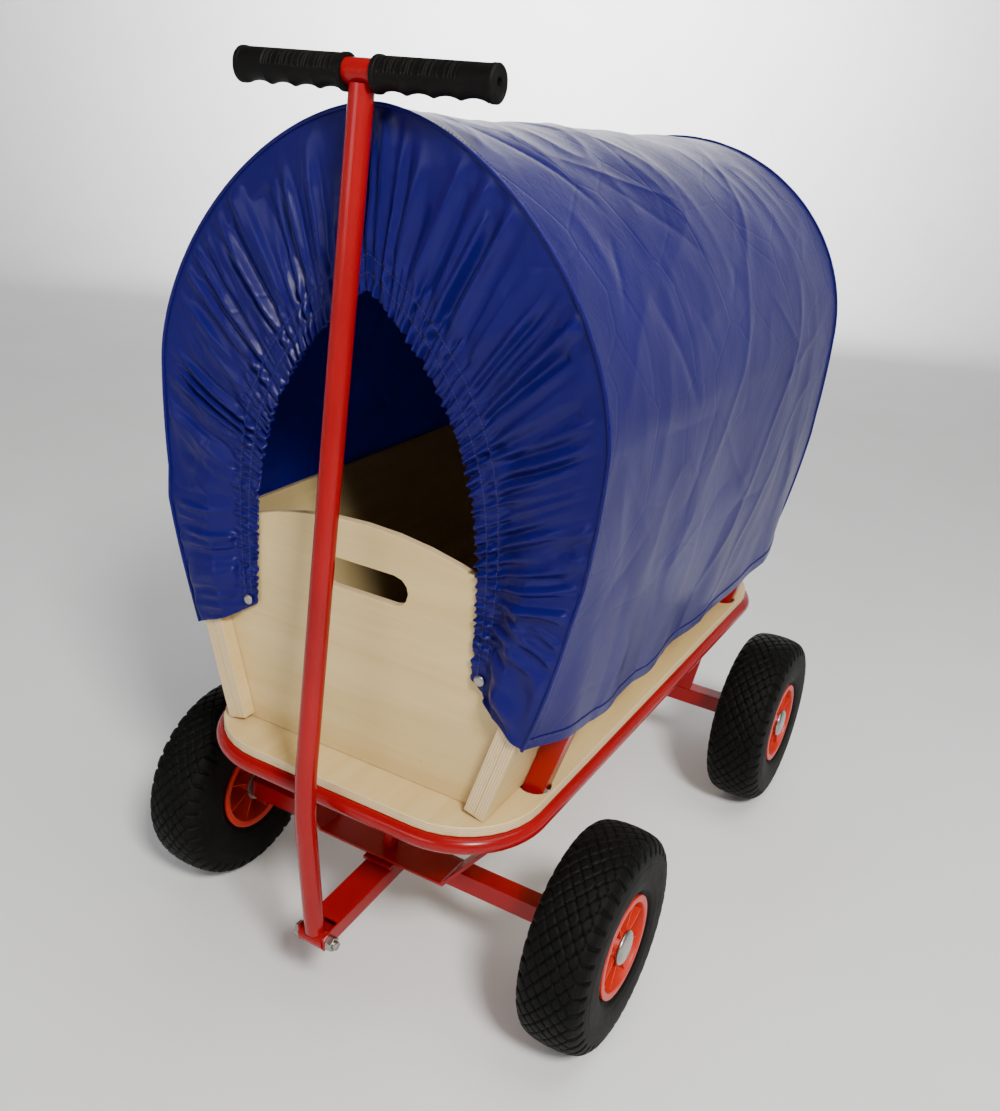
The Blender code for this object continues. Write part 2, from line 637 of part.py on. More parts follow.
def cover_end_y(z):
    """How far from the wagon's middle the cover's end skin stands at a height."""
    if z <= COVER_BOX_TOP_Z:
        return COVER_END_LOW_Y
    if z < COVER_HIP_Z:
        share = (z - COVER_BOX_TOP_Z) / (COVER_HIP_Z - COVER_BOX_TOP_Z)
        return COVER_END_LOW_Y + (COVER_END_HIP_Y - COVER_END_LOW_Y) * share
    share = (z - COVER_HIP_Z) / (ARCH_WIDEST_Z + FRONT_ARCH[1] - COVER_HIP_Z)
    return COVER_END_HIP_Y + (COVER_END_TOP_Y - COVER_END_HIP_Y) * share


def cover_row(along, tuck, hem):
    """One line of cover points over the top, from the left hem to the right hem."""
    heights = [hem + (COVER_BOX_TOP_Z - hem) * i / 3 for i in range(4)]
    heights.append((COVER_BOX_TOP_Z + ARCH_WIDEST_Z) / 2)
    right = half_arch(along, tuck, heights)
    full = [(-x, z) for x, z in right] + [(x, z) for x, z in reversed(right[:-1])]
    return [(x, cover_end_y(z) * (2 * along - 1), z) for x, z in full]


def door_row():
    """Edge of the front opening, with as many points as a cover row."""
    count = (len(cover_row(*COVER_ROWS[0])) - 1) // 2
    right = []
    for i in range(count + 1):
        share = 1 - (1 - i / count) ** 1.5
        x = DOOR_HALF_WIDTH * (1 - share ** DOOR_ROUNDNESS)
        right.append((x, -DOOR_Y, DOOR_BOTTOM_Z + DOOR_HEIGHT * share))
    return [(-x, y, z) for x, y, z in right] + list(reversed(right[:-1]))


def front_rows():
    """Skin between the front arch and the opening, kept clear of the battens."""
    arch, door = cover_row(*COVER_ROWS[0]), door_row()
    rows = []
    for share, recess in ((0.50, 0.0), (0.72, 0.9)):
        row = []
        for outer, inner in zip(arch, door):
            point = Vector(outer).lerp(Vector(inner), share)
            flat_y = -cover_end_y(point.z)
            point.y = flat_y + (-DOOR_Y - flat_y) * recess
            row.append(tuple(point))
        rows.append(row)
    return [door] + rows[::-1]


def rear_columns(last_row):
    """Closed rear skin: lines across from each left point to its right partner."""
    count = len(last_row)
    half = count // 2
    lift = 0.05
    lines = []
    for j in range(half):
        (x, y, z), line = last_row[j], []
        for share in (-1.0, -0.5, 0.0, 0.5, 1.0):
            raised = z + lift * (1 - share ** 2) * max(0.0, 1 - j / 4)
            line.append((-x * share * -1.0, cover_end_y(raised), raised))
        lines.append(line)
    return lines, last_row[half]


def canopy_cover(parent):
    """Sewn cover as one shell: roof and sides, front with its opening, closed rear."""
    bm = bmesh.new()
    rows = front_rows() + [cover_row(*row) for row in COVER_ROWS]
    grid = [[bm.verts.new(point) for point in row] for row in rows]
    for row, following in zip(grid, grid[1:]):
        for a, b, c, d in zip(row, row[1:], following[1:], following):
            bm.faces.new((a, b, c, d))
    lines, ridge = rear_columns(rows[-1])
    columns = [[bm.verts.new(point) for point in line] for line in lines]
    for line, above in zip(columns, columns[1:]):
        for a, b, c, d in zip(line, line[1:], above[1:], above):
            bm.faces.new((a, b, c, d))
    crown = bm.verts.new(ridge)
    for a, b in zip(columns[-1], columns[-1][1:]):
        bm.faces.new((a, b, crown))
    bmesh.ops.remove_doubles(bm, verts=bm.verts, dist=1e-5)
    bmesh.ops.recalc_face_normals(bm, faces=bm.faces)
    top_face = max(bm.faces, key=lambda face: face.calc_center_median().z)
    if top_face.normal.z < 0:
        bmesh.ops.reverse_faces(bm, faces=bm.faces)
    cover = object_from_bmesh(bm)
    skin = cover.modifiers.new("cloth", "SOLIDIFY")
    skin.thickness = COVER_THICKNESS
    skin.offset = -1.0
    skin.use_even_offset = True
    place(smooth(cover), "canopy_cover", parent, (0.0, 0.0, 0.0), look=CANOPY_BLUE)


def hoops(parent):
    """Bent rods: feet in the box corners, arch inside the cover."""
    slope = Vector((math.sin(LEAN), math.cos(LEAN)))
    for sign, end in FRONT_AND_REAR:
        along = (sign + 1) / 2
        socket = Vector((HOOP_SOCKET_X, HOOP_SOCKET_Z))
        foot = socket - slope * (HOOP_SOCKET_DEPTH - 0.002)
        tuck = COVER_ROWS[0][1] if sign < 0 else COVER_ROWS[-1][1]
        arch = half_arch(along, tuck, HOOP_BEND_HEIGHTS, HOOP_INSET)
        top_z = arch[-1][1]
        right = [tuple(foot), tuple(socket)] + arch
        full = [(-x, z) for x, z in right] + [(x, z) for x, z in reversed(right[:-1])]
        points = []
        for x, z in full:
            share = max(0.0, (z - HOOP_SOCKET_Z) / (top_z - HOOP_SOCKET_Z))
            inner_y = COVER_END_TOP_Y - HOOP_INSET
            points.append((x, sign * (HOOP_SOCKET_Y + (inner_y - HOOP_SOCKET_Y) * share), z))
        place(tube(points, HOOP_RADIUS, sides=8), "hoop_" + end, parent, (0.0, 0.0, 0.0), look=ROD_GREY)


def snaps(parent):
    """Snap buttons that hold the front corners of the cover to the box."""
    for side, word in LEFT_AND_RIGHT:
        profile = [(0.0, 0.0026), (0.0040, 0.0024), (SNAP_RADIUS, 0.0010), (SNAP_RADIUS, 0.0), (0.0, 0.0)]
        button = turned(profile, 16, closed=False)
        place(button, "snap_" + word, parent, (side * SNAP_X, -0.3873, SNAP_Z), AROUND_Y, ZINC)


# -------------------------------------------------------------------- handle
def handle_line():
    """Centre line from the pivot up past the knee to the cross tube, as (y, z)."""
    return [(PIVOT_Y, PIVOT_Z), (-0.4587, 0.169), (-0.4652, 0.228), (-0.4700, 0.272), (-0.4712, 0.290),
            (-0.4712, 0.310), (-0.4702, 0.340), (-0.4674, 0.369), (CROSS_TUBE_Y, CROSS_TUBE_Z)]


def handle_tube(parent):
    """Bent tube whose ends are mitred round the pivot sleeve and the cross tube."""
    bar = tube([(0.0, y, z) for y, z in handle_line()], HANDLE_RADIUS, HANDLE_WALL, sides=12)
    foot = put(cylinder(SLEEVE_RADIUS + GAP, 0.06), (0.0, PIVOT_Y, PIVOT_Z), AROUND_X)
    below = put(box((0.06, 0.06, 0.04)), (0.0, PIVOT_Y, PIVOT_Z - 0.02))
    head = put(cylinder(CROSS_TUBE_RADIUS + GAP, 0.06), (0.0, CROSS_TUBE_Y, CROSS_TUBE_Z), AROUND_X)
    above = put(box((0.06, 0.06, 0.04)), (0.0, CROSS_TUBE_Y, CROSS_TUBE_Z + 0.02))
    bar = boolean(bar, [foot, below, head, above])
    pivot = (0.0, PIVOT_Y, PIVOT_Z)
    recentre(bar, pivot)
    place(smooth(bar), "handle_tube", parent, pivot, look=PAINT_RED)


def pivot_sleeve(parent):
    half, bore = 0.0155, SHANK_RADIUS + GAP
    profile = [(SLEEVE_RADIUS, half), (SLEEVE_RADIUS, -half), (bore, -half), (bore, half)]
    place(turned(profile, 20), "pivot_sleeve", parent, (0.0, PIVOT_Y, PIVOT_Z), AROUND_X, PAINT_RED)


def cross_tube(parent):
    half, bore = CROSS_TUBE_HALF_LENGTH, CROSS_TUBE_RADIUS - HANDLE_WALL
    profile = [(CROSS_TUBE_RADIUS, half), (CROSS_TUBE_RADIUS, -half), (bore, -half), (bore, half)]
    centre = (0.0, CROSS_TUBE_Y, CROSS_TUBE_Z)
    place(turned(profile, 20), "handle_cross_tube", parent, centre, AROUND_X, PAINT_RED)


def grips(parent):
    """Rubber grips with four finger ridges underneath and a vent hole in the end."""
    bore, vent = CROSS_TUBE_RADIUS + GAP, 0.002
    stations = 16
    for side, word in LEFT_AND_RIGHT:
        outer = [(GRIP_RADIUS - 0.0015, GRIP_LENGTH)]
        outer += [(GRIP_RADIUS, 0.001 + (GRIP_LENGTH - 0.003) * (1 - i / stations)) for i in range(stations)]
        outer += [(GRIP_RADIUS, 0.0)]
        inner_end = GRIP_LENGTH - GRIP_END_WALL
        profile = outer + [(bore, 0.0), (bore, inner_end), (vent, inner_end), (vent, GRIP_LENGTH)]
        grip = turned(profile, 18)
        down = Vector((side * 1.0, 0.0, 0.0))
        for vertex in grip.data.vertices:
            across = Vector((vertex.co.x, vertex.co.y, 0.0))
            share = min(max(vertex.co.z / GRIP_LENGTH, 0.0), 1.0)
            ridge = 0.5 - 0.5 * math.cos(2 * math.pi * FINGER_COUNT * share)
            if across.length > GRIP_RADIUS - 0.0005:
                facing = max(0.0, across.normalized().dot(down))
                vertex.co += across.normalized() * FINGER_DEPTH * ridge * facing ** 2
        start = (side * GRIP_START_X, CROSS_TUBE_Y, CROSS_TUBE_Z)
        place(smooth(grip), "grip_" + word, parent, start, (0.0, side * math.pi / 2, 0.0), GRIP_RUBBER)


# ------------------------------------------------------------------ assembly
def build():
    root = make_empty("wagon_root", (0.0, 0.0, 0.0))
    root.location = (0.0, ORIGIN_SHIFT_Y, 0.0)
    steering = make_empty("steering_axis", (0.0, KINGPIN_Y, AXLE_Z), root)
    handle = make_empty("handle_axis", (0.0, PIVOT_Y, PIVOT_Z), steering)
    frame_ring(root)
    cross_bars(root)
    front_carrier(root)
    kingpin(root)
    rear_bracket(root)
    axle("rear", AXLE_REAR_Y, root)
    deck(root)
    for side, word in LEFT_AND_RIGHT:
        box_side(side, word, root)
    end_panels(root)
    hoops(root)
    canopy_cover(root)
    snaps(root)
    axle("front", AXLE_FRONT_Y, steering)
    steering_head(steering)
    tongue(steering)
    pivot_bolt(steering)
    handle_tube(handle)
    pivot_sleeve(handle)
    cross_tube(handle)
    grips(handle)


clear_scene()
wagon = bpy.data.collections.new("pull_wagon")
bpy.context.scene.collection.children.link(wagon)
build()
bpy.context.view_layer.update()
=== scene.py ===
"""Looks for the pull wagon: cloth canopy, tyres, rims, grips, paint, plywood and studio.

Metres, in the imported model's frame: +Z up, the handle end faces -Y, X runs across.
"""
import math

import bmesh
import bpy
import numpy as np
from mathutils import Matrix, Vector


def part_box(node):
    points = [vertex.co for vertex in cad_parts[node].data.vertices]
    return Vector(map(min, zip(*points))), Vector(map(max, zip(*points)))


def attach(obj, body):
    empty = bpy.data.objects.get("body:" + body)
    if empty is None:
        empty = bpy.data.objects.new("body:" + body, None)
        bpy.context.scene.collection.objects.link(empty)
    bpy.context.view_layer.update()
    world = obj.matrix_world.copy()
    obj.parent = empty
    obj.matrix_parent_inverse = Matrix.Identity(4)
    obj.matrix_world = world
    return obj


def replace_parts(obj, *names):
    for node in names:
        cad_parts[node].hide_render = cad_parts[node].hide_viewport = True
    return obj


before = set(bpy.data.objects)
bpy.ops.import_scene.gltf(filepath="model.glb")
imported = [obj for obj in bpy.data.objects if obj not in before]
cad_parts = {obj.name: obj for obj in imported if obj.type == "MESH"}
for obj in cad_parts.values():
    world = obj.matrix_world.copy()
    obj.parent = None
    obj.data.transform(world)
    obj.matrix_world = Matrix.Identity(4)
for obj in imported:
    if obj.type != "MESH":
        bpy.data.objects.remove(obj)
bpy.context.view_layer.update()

# ---------------------------------------------------------------- dimensions
_deck_low, _deck_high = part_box("deck_board")
MID_Y = (_deck_low.y + _deck_high.y) / 2          # middle of the deck
SIDES = ((-1, "left"), (1, "right"))
ENDS = ((-1, "front"), (1, "rear"))
CORNERS = [(end, word, side) for _, end in ENDS for side, word in SIDES]

# Cover: the same arches as its CAD solid (half width, rise, roundness)
FRONT_ARCH = (0.2614, 0.2692, 1.72)
REAR_ARCH = (0.2556, 0.2425, 2.00)
WIDEST_Z = 0.719
COVER_ROWS = (                    # share of the way back, inward curve of the side, hem height
    (0.00, 0.55, 0.415), (0.08, 0.26, 0.411), (0.17, 0.24, 0.404), (0.50, 0.33, 0.382),
    (0.83, 0.18, 0.393), (0.92, 0.19, 0.398), (1.00, 0.38, 0.400))
END_Y = ((0.0, 0.4005), (0.566, 0.4005), (0.600, 0.3935), (0.988, 0.378))
DOOR_HALF_WIDTH = 0.139
DOOR_BOTTOM_Z = 0.463
DOOR_HEIGHT = 0.366
DOOR_ROUNDNESS = 3.5
DOOR_Y = 0.3845
CLOTH_THICKNESS = 0.0007
LEFT_HITCH = 0.014                                # the front left corner hangs a little short
COLUMNS = 720
ROOF_ROWS = 160
FRONT_ROWS = 60
REAR_ROWS = 24
FRONT_SHARES = np.linspace(1, 0, FRONT_ROWS + 1)[:-1]       # 1 at the door edge, 0 at the arch
FRONT = slice(0, FRONT_ROWS)
ROOF = slice(FRONT_ROWS, FRONT_ROWS + ROOF_ROWS)
REAR = slice(FRONT_ROWS + ROOF_ROWS, FRONT_ROWS + ROOF_ROWS + REAR_ROWS)
PUCKERS = 92                                      # gathers along the door edge
ELASTIC_SHARES = (0.90, 0.80)                     # the two lines of elastic beside it
PACKING_CREASES, CREASE_SEED = 130, 21
RIM_RIBS = 8
GRIP_RIBS, GRIP_FINGERS = 34, 4
SIDE_LEAN = math.radians(16.3)


# ------------------------------------------------------------ number helpers
def lattice_noise(x, y, seed):
    """Smooth repeatable noise in -1..1 on arrays of coordinates, one cell per unit."""
    table = np.random.RandomState(seed).uniform(-1.0, 1.0, (256, 256))
    x, y = np.broadcast_arrays(np.asarray(x, float), np.asarray(y, float))
    ix, iy = np.floor(x).astype(int), np.floor(y).astype(int)
    fx, fy = x - ix, y - iy
    fx, fy = fx * fx * (3 - 2 * fx), fy * fy * (3 - 2 * fy)
    x0, x1, y0, y1 = ix % 256, (ix + 1) % 256, iy % 256, (iy + 1) % 256
    low = table[x0, y0] * (1 - fx) + table[x1, y0] * fx
    high = table[x0, y1] * (1 - fx) + table[x1, y1] * fx
    return low * (1 - fy) + high * fy


def smoothstep(low, high, value):
    t = np.clip((np.asarray(value, float) - low) / (high - low), 0.0, 1.0)
    return t * t * (3 - 2 * t)


def bump_window(low, high, value, ramp):
    """One between low and high, fading to zero over a ramp outside each."""
    return smoothstep(low - ramp, low, value) * (1 - smoothstep(high, high + ramp, value))


def resample(points, count):
    """Evenly spaced points along a polyline."""
    points = np.asarray(points, float)
    steps = np.linalg.norm(np.diff(points, axis=0), axis=1)
    along = np.concatenate(([0.0], np.cumsum(steps)))
    wanted = np.linspace(0.0, along[-1], count)
    return np.stack([np.interp(wanted, along, points[:, i]) for i in range(points.shape[1])], axis=1)


# -------------------------------------------------------------- mesh helpers
def mesh_object(name, verts, faces, materials=()):
    mesh = bpy.data.meshes.new(name)
    mesh.from_pydata([tuple(v) for v in verts], [], faces)
    mesh.update()
    obj = bpy.data.objects.new(name, mesh)
    bpy.context.scene.collection.objects.link(obj)
    for material in materials:
        mesh.materials.append(material)
    mesh.shade_smooth()
    return obj


def grid_faces(rows, columns, wrap_rows=False, wrap_columns=False):
    faces = []
    for i in range(rows if wrap_rows else rows - 1):
        for j in range(columns if wrap_columns else columns - 1):
            a, b = i * columns + j, i * columns + (j + 1) % columns
            c, d = ((i + 1) % rows) * columns + (j + 1) % columns, ((i + 1) % rows) * columns + j
            faces.append((a, b, c, d))
    return faces


def turned(name, profile, steps, centre, side, materials):
    """Closed ring turned about X through centre. Profile points are (radius, outward offset)."""
    angles = np.linspace(0, 2 * np.pi, steps, endpoint=False)
    verts = []
    for radius, offset in profile:
        for angle in angles:
            verts.append((centre[0] + side * offset, centre[1] + radius * math.cos(angle),
                          centre[2] + radius * math.sin(angle)))
    faces = grid_faces(len(profile), steps, wrap_rows=True, wrap_columns=True)
    obj = mesh_object(name, verts, faces, materials)
    tidy_normals(obj)
    return obj


def tidy_normals(obj, weld=1e-6, sharp_degrees=35):
    bm = bmesh.new()
    bm.from_mesh(obj.data)
    bmesh.ops.remove_doubles(bm, verts=bm.verts, dist=weld)
    bmesh.ops.recalc_face_normals(bm, faces=bm.faces)
    bm.to_mesh(obj.data)
    bm.free()
    obj.data.shade_smooth()
    obj.data.set_sharp_from_angle(angle=math.radians(sharp_degrees))
    return obj


def tube(name, points, radius, material, sides=20, closed=False):
    """Round tube mesh along a smooth line of points, with capped ends."""
    curve = bpy.data.curves.new(name, "CURVE")
    curve.dimensions = "3D"
    curve.bevel_depth = radius
    curve.bevel_resolution = (sides - 4) // 2
    curve.use_fill_caps = not closed
    spline = curve.splines.new("POLY")
    spline.points.add(len(points) - 1)
    for point, co in zip(spline.points, points):
        point.co = (*co, 1.0)
    spline.use_cyclic_u = closed
    source = bpy.data.objects.new(name + "_line", curve)
    bpy.context.scene.collection.objects.link(source)
    bpy.context.view_layer.update()
    mesh = bpy.data.meshes.new_from_object(source.evaluated_get(bpy.context.evaluated_depsgraph_get()))
    bpy.data.objects.remove(source, do_unlink=True)
    obj = bpy.data.objects.new(name, mesh)
    bpy.context.scene.collection.objects.link(obj)
    mesh.materials.clear()
    mesh.materials.append(material)
    return tidy_normals(obj)


# ----------------------------------------------------------------- materials
class Nodes:
    """Short forms for building one material's node tree."""

    def __init__(self, name, base, roughness, metallic=0.0):
        self.material = bpy.data.materials.new(name)
        self.material.use_nodes = True
        self.tree = self.material.node_tree
        self.shader = self.tree.nodes["Principled BSDF"]
        self.set(**{"Base Color": (*base, 1.0), "Roughness": roughness, "Metallic": metallic})
        self.coords = self.add("ShaderNodeTexCoord")

    def set(self, **values):
        for socket, value in values.items():
            self.shader.inputs[socket].default_value = value

    def add(self, kind, **settings):
        node = self.tree.nodes.new(kind)
        for key, value in settings.items():
            setattr(node, key, value)
        return node

    def link(self, output, socket):
        self.tree.links.new(output, socket)
        return self

    def scaled(self, scale, source="Object", rotation=(0.0, 0.0, 0.0)):
        mapping = self.add("ShaderNodeMapping")
        mapping.inputs["Scale"].default_value = scale
        mapping.inputs["Rotation"].default_value = rotation
        self.link(self.coords.outputs[source], mapping.inputs["Vector"])
        return mapping.outputs["Vector"]

    def noise(self, vector, scale=1.0, detail=3.0, distortion=0.0, roughness=0.5):
        node = self.add("ShaderNodeTexNoise")
        node.inputs["Scale"].default_value = scale
        node.inputs["Detail"].default_value = detail
        node.inputs["Distortion"].default_value = distortion
        node.inputs["Roughness"].default_value = roughness
        self.link(vector, node.inputs["Vector"])
        return node.outputs["Fac"]

    def ramp(self, value, stops):
        node = self.add("ShaderNodeValToRGB")
        elements = node.color_ramp.elements
        while len(elements) < len(stops):
            elements.new(0.5)
        for element, (position, colour) in zip(elements, stops):
            element.position = position
            element.color = (*colour, 1.0)
        self.link(value, node.inputs["Fac"])
        return node.outputs["Color"]

    def span(self, value, low, high, from_low=0.0, from_high=1.0):
        node = self.add("ShaderNodeMapRange")
        limits = {"From Min": from_low, "From Max": from_high, "To Min": low, "To Max": high}
        for socket, number in limits.items():
            node.inputs[socket].default_value = number
        self.link(value, node.inputs["Value"])
        return node.outputs["Result"]

    def maths(self, operation, first, second=None):
        node = self.add("ShaderNodeMath", operation=operation)
        for socket, value in zip(node.inputs, (first, second)):
            if value is None:
                continue
            if isinstance(value, (int, float)):
                socket.default_value = value
            else:
                self.link(value, socket)
        return node.outputs["Value"]

    def mix(self, factor, first, second):
        node = self.add("ShaderNodeMix", data_type="RGBA")
        sockets = (node.inputs["Factor"], node.inputs[6], node.inputs[7])      # 6 and 7 are the colours
        for socket, value in zip(sockets, (factor, first, second)):
            if isinstance(value, (int, float)):
                socket.default_value = value
            elif isinstance(value, tuple):
                socket.default_value = (*value, 1.0)
            else:
                self.link(value, socket)
        return node.outputs[2]

    def bump(self, *layers):
        """Stack of (height, strength, distance in metres)."""
        normal = None
        for height, strength, distance in layers:
            node = self.add("ShaderNodeBump")
            node.inputs["Strength"].default_value = strength
            node.inputs["Distance"].default_value = distance
            self.link(height, node.inputs["Height"])
            if normal is not None:
                self.link(normal, node.inputs["Normal"])
            normal = node.outputs["Normal"]
        self.link(normal, self.shader.inputs["Normal"])
        return self

    def base(self, colour):
        return self.link(colour, self.shader.inputs["Base Color"])

    def rough(self, value):
        return self.link(value, self.shader.inputs["Roughness"])


def paint_material():
    """Gloss powder coat with a little orange peel, dust and tiny chips."""
    m = Nodes("red_paint", (0.29, 0.0016, 0.0034), 0.30)
    m.set(**{"Coat Weight": 0.05, "Coat Roughness": 0.12, "IOR": 1.33})
    space = m.scaled((1, 1, 1))
    broad = m.noise(space, 9.0, 3.0)
    fine = m.noise(space, 900.0, 2.0)
    chips = m.noise(space, 150.0, 4.0, roughness=0.7)
    chip_mask = m.span(chips, 0.0, 1.0, 0.765, 0.775)
    coat = m.ramp(broad, [(0.3, (0.24, 0.0012, 0.0030)), (0.7, (0.31, 0.0019, 0.0040))])
    m.base(m.mix(chip_mask, coat, (0.10, 0.045, 0.035)))
    m.rough(m.span(m.noise(space, 35.0, 4.0), 0.20, 0.28))
    m.bump((fine, 0.05, 0.0002), (m.noise(space, 60.0, 2.0), 0.05, 0.0006))
    return m.material


def cloth_material():
    """Coated nylon: plain weave, crinkles, a satin sheen and faint fold marks."""
    m = Nodes("canopy_nylon", (0.0055, 0.0026, 0.088), 0.36)
    m.set(**{"Sheen Weight": 0.02, "Sheen Roughness": 0.30, "Sheen Tint": (0.55, 0.62, 1.0, 1.0),
             "Specular IOR Level": 0.5, "IOR": 1.25, "Subsurface Weight": 0.35, "Subsurface Scale": 0.004,
             "Subsurface Radius": (0.3, 0.4, 1.0)})
    space = m.scaled((1, 1, 1))
    threads = []
    for turn in (0.0, math.pi / 2):
        wave = m.add("ShaderNodeTexWave", wave_type="BANDS", bands_direction="X")
        wave.inputs["Scale"].default_value = 420.0
        wave.inputs["Distortion"].default_value = 0.4
        m.link(m.scaled((1, 1, 1), "UV", (0, 0, turn)), wave.inputs["Vector"])
        threads.append(wave.outputs["Fac"])
    weave = m.maths("MULTIPLY", threads[0], threads[1])
    crinkle = m.noise(m.scaled((1.0, 1.0, 0.6)), 46.0, 6.0, 1.4, 0.62)
    creases = m.add("ShaderNodeTexVoronoi", feature="DISTANCE_TO_EDGE")
    creases.inputs["Scale"].default_value = 9.0
    m.link(space, creases.inputs["Vector"])
    crease = m.span(creases.outputs["Distance"], 0.0, 1.0, 0.0, 0.03)
    tone = m.noise(space, 5.0, 5.0, 0.5)
    colour = m.ramp(tone, [(0.30, (0.0046, 0.0021, 0.080)), (0.72, (0.0062, 0.0031, 0.106))])
    m.base(m.mix(m.span(crinkle, 0.0, 0.25), colour, (0.014, 0.010, 0.14)))
    m.rough(m.span(m.noise(space, 24.0, 4.0), 0.25, 0.36))
    m.bump((weave, 0.10, 0.0003), (crinkle, 0.22, 0.0016), (crease, 0.16, 0.0010))
    return m.material


def thread_material():
    m = Nodes("cover_thread", (0.006, 0.009, 0.14), 0.6)
    m.set(**{"Sheen Weight": 0.3})
    tone = m.noise(m.scaled((1, 1, 1)), 400.0)
    m.base(m.ramp(tone, [(0.3, (0.006, 0.009, 0.13)), (0.7, (0.014, 0.020, 0.20))]))
    m.bump((m.noise(m.scaled((1, 1, 1)), 2500.0), 0.3, 0.0003))
    return m.material


def plywood_material(name, stack, thickness, origin, grain, plies=9):
    """Birch plywood: pale grain on its faces, thin plies on its edges.

    stack is the direction through the plies, origin a distance along it to one
    face, and grain the direction that the face grain runs.
    """
    m = Nodes(name, (0.74, 0.60, 0.41), 0.48)
    m.set(**{"Coat Weight": 0.10, "Coat Roughness": 0.35, "Specular IOR Level": 0.4})
    stack, grain = Vector(stack).normalized(), Vector(grain).normalized()
    across = stack.cross(grain)

    def along(direction, source):
        node = m.add("ShaderNodeVectorMath", operation="DOT_PRODUCT")
        node.inputs[1].default_value = direction
        m.link(source, node.inputs[0])
        return node.outputs["Value"]

    position = m.coords.outputs["Object"]
    facing = along(stack, m.add("ShaderNodeNewGeometry").outputs["Normal"])
    face_mask = m.span(m.maths("ABSOLUTE", facing), 0.0, 1.0, 0.55, 0.75)
    depth, length, width = along(stack, position), along(grain, position), along(across, position)

    def stretched(scale_length, scale_width, scale_depth):
        node = m.add("ShaderNodeCombineXYZ")
        scales = (scale_length, scale_width, scale_depth)
        for socket, value, scale in zip(node.inputs, (length, width, depth), scales):
            m.link(m.maths("MULTIPLY", value, scale), socket)
        return node.outputs["Vector"]

    streaks = m.noise(stretched(2.2, 38.0, 4.0), 1.0, 5.0, 0.35, 0.6)
    figure = m.noise(stretched(1.0, 7.0, 2.0), 1.0, 3.0, 0.8)
    pores = m.noise(stretched(60.0, 900.0, 60.0), 1.0, 2.0)
    face = m.ramp(streaks, [(0.25, (0.58, 0.40, 0.155)), (0.55, (0.66, 0.49, 0.22)),
                            (0.80, (0.71, 0.55, 0.27))])
    face = m.mix(m.span(figure, 0.0, 0.22, 0.35, 0.75), face, (0.59, 0.41, 0.17))
    face = m.mix(m.span(pores, 0.0, 0.35, 0.60, 0.72), face, (0.56, 0.42, 0.26))
    marks = m.noise(m.scaled((1, 1, 1)), 42.0, 3.0, roughness=0.7)
    face = m.mix(m.span(marks, 0.0, 0.55, 0.735, 0.76), face, (0.33, 0.22, 0.13))
    wobble = m.maths("MULTIPLY", m.noise(stretched(9.0, 9.0, 0.0), 1.0, 3.0), 0.0006)
    level = m.maths("ADD", m.maths("SUBTRACT", depth, origin), wobble)
    ply = m.maths("FRACT", m.maths("MULTIPLY", level, plies / thickness / 2))
    edge = m.ramp(ply, [(0.0, (0.55, 0.40, 0.23)), (0.08, (0.70, 0.53, 0.29)), (0.46, (0.75, 0.58, 0.33)),
                        (0.52, (0.46, 0.32, 0.18)), (0.60, (0.55, 0.38, 0.19)), (0.97, (0.57, 0.40, 0.20))])
    voids = m.noise(stretched(45.0, 45.0, 900.0), 1.0, 2.0)
    edge = m.mix(m.span(voids, 0.0, 0.8, 0.70, 0.76), edge, (0.10, 0.06, 0.035))
    m.base(m.mix(face_mask, edge, face))
    m.rough(m.span(streaks, 0.42, 0.58))
    m.bump((pores, 0.10, 0.0003), (streaks, 0.12, 0.0008))
    return m.material


def rubber_material(name, base, roughness=0.62):
    m = Nodes(name, base, roughness)
    m.set(**{"Specular IOR Level": 0.11})
    space = m.scaled((1, 1, 1))
    dust = m.noise(space, 26.0, 5.0, roughness=0.65)
    m.base(m.ramp(dust, [(0.35, base), (0.80, tuple(c * 1.9 + 0.0008 for c in base))]))
    m.rough(m.span(m.noise(space, 60.0, 4.0), roughness - 0.10, roughness + 0.12))
    m.bump((m.noise(space, 700.0, 3.0), 0.25, 0.0004))
    return m.material


def plastic_material():
    m = Nodes("rim_plastic", (0.54, 0.019, 0.005), 0.36)
    m.set(**{"Specular IOR Level": 0.32, "Subsurface Weight": 0.04,
             "Subsurface Radius": (0.004, 0.001, 0.0005)})
    space = m.scaled((1, 1, 1))
    m.base(m.ramp(m.noise(space, 18.0, 4.0), [(0.3, (0.48, 0.016, 0.004)), (0.75, (0.58, 0.022, 0.006))]))
    m.rough(m.span(m.noise(space, 90.0, 3.0), 0.30, 0.44))
    m.bump((m.noise(space, 1100.0, 2.0), 0.14, 0.0003))
    return m.material


def zinc_material():
    m = Nodes("zinc_plate", (0.36, 0.35, 0.32), 0.28, 1.0)
    space = m.scaled((1, 1, 1))
    m.base(m.ramp(m.noise(space, 70.0, 4.0), [(0.3, (0.28, 0.27, 0.25)), (0.7, (0.42, 0.41, 0.37))]))
    m.rough(m.span(m.noise(space, 240.0, 3.0), 0.20, 0.42))
    m.bump((m.noise(m.scaled((40, 500, 500)), 1.0, 3.0), 0.15, 0.0003))
    return m.material


PAINT = paint_material()
CLOTH = cloth_material()
THREAD = thread_material()
TYRE = rubber_material("tyre_rubber", (0.0013, 0.0012, 0.0010), 0.62)
GRIP = rubber_material("grip_rubber", (0.0028, 0.0024, 0.0022), 0.50)
PLASTIC = plastic_material()
ZINC = zinc_material()
ROD = rubber_material("hoop_rod", (0.16, 0.16, 0.17), 0.45)
NYLON = rubber_material("nylon_bush", (0.05, 0.05, 0.05), 0.40)


# --------------------------------------------------------------------- cover
def end_y(z):
    heights, outs = zip(*END_Y)
    return np.interp(z, heights, outs)


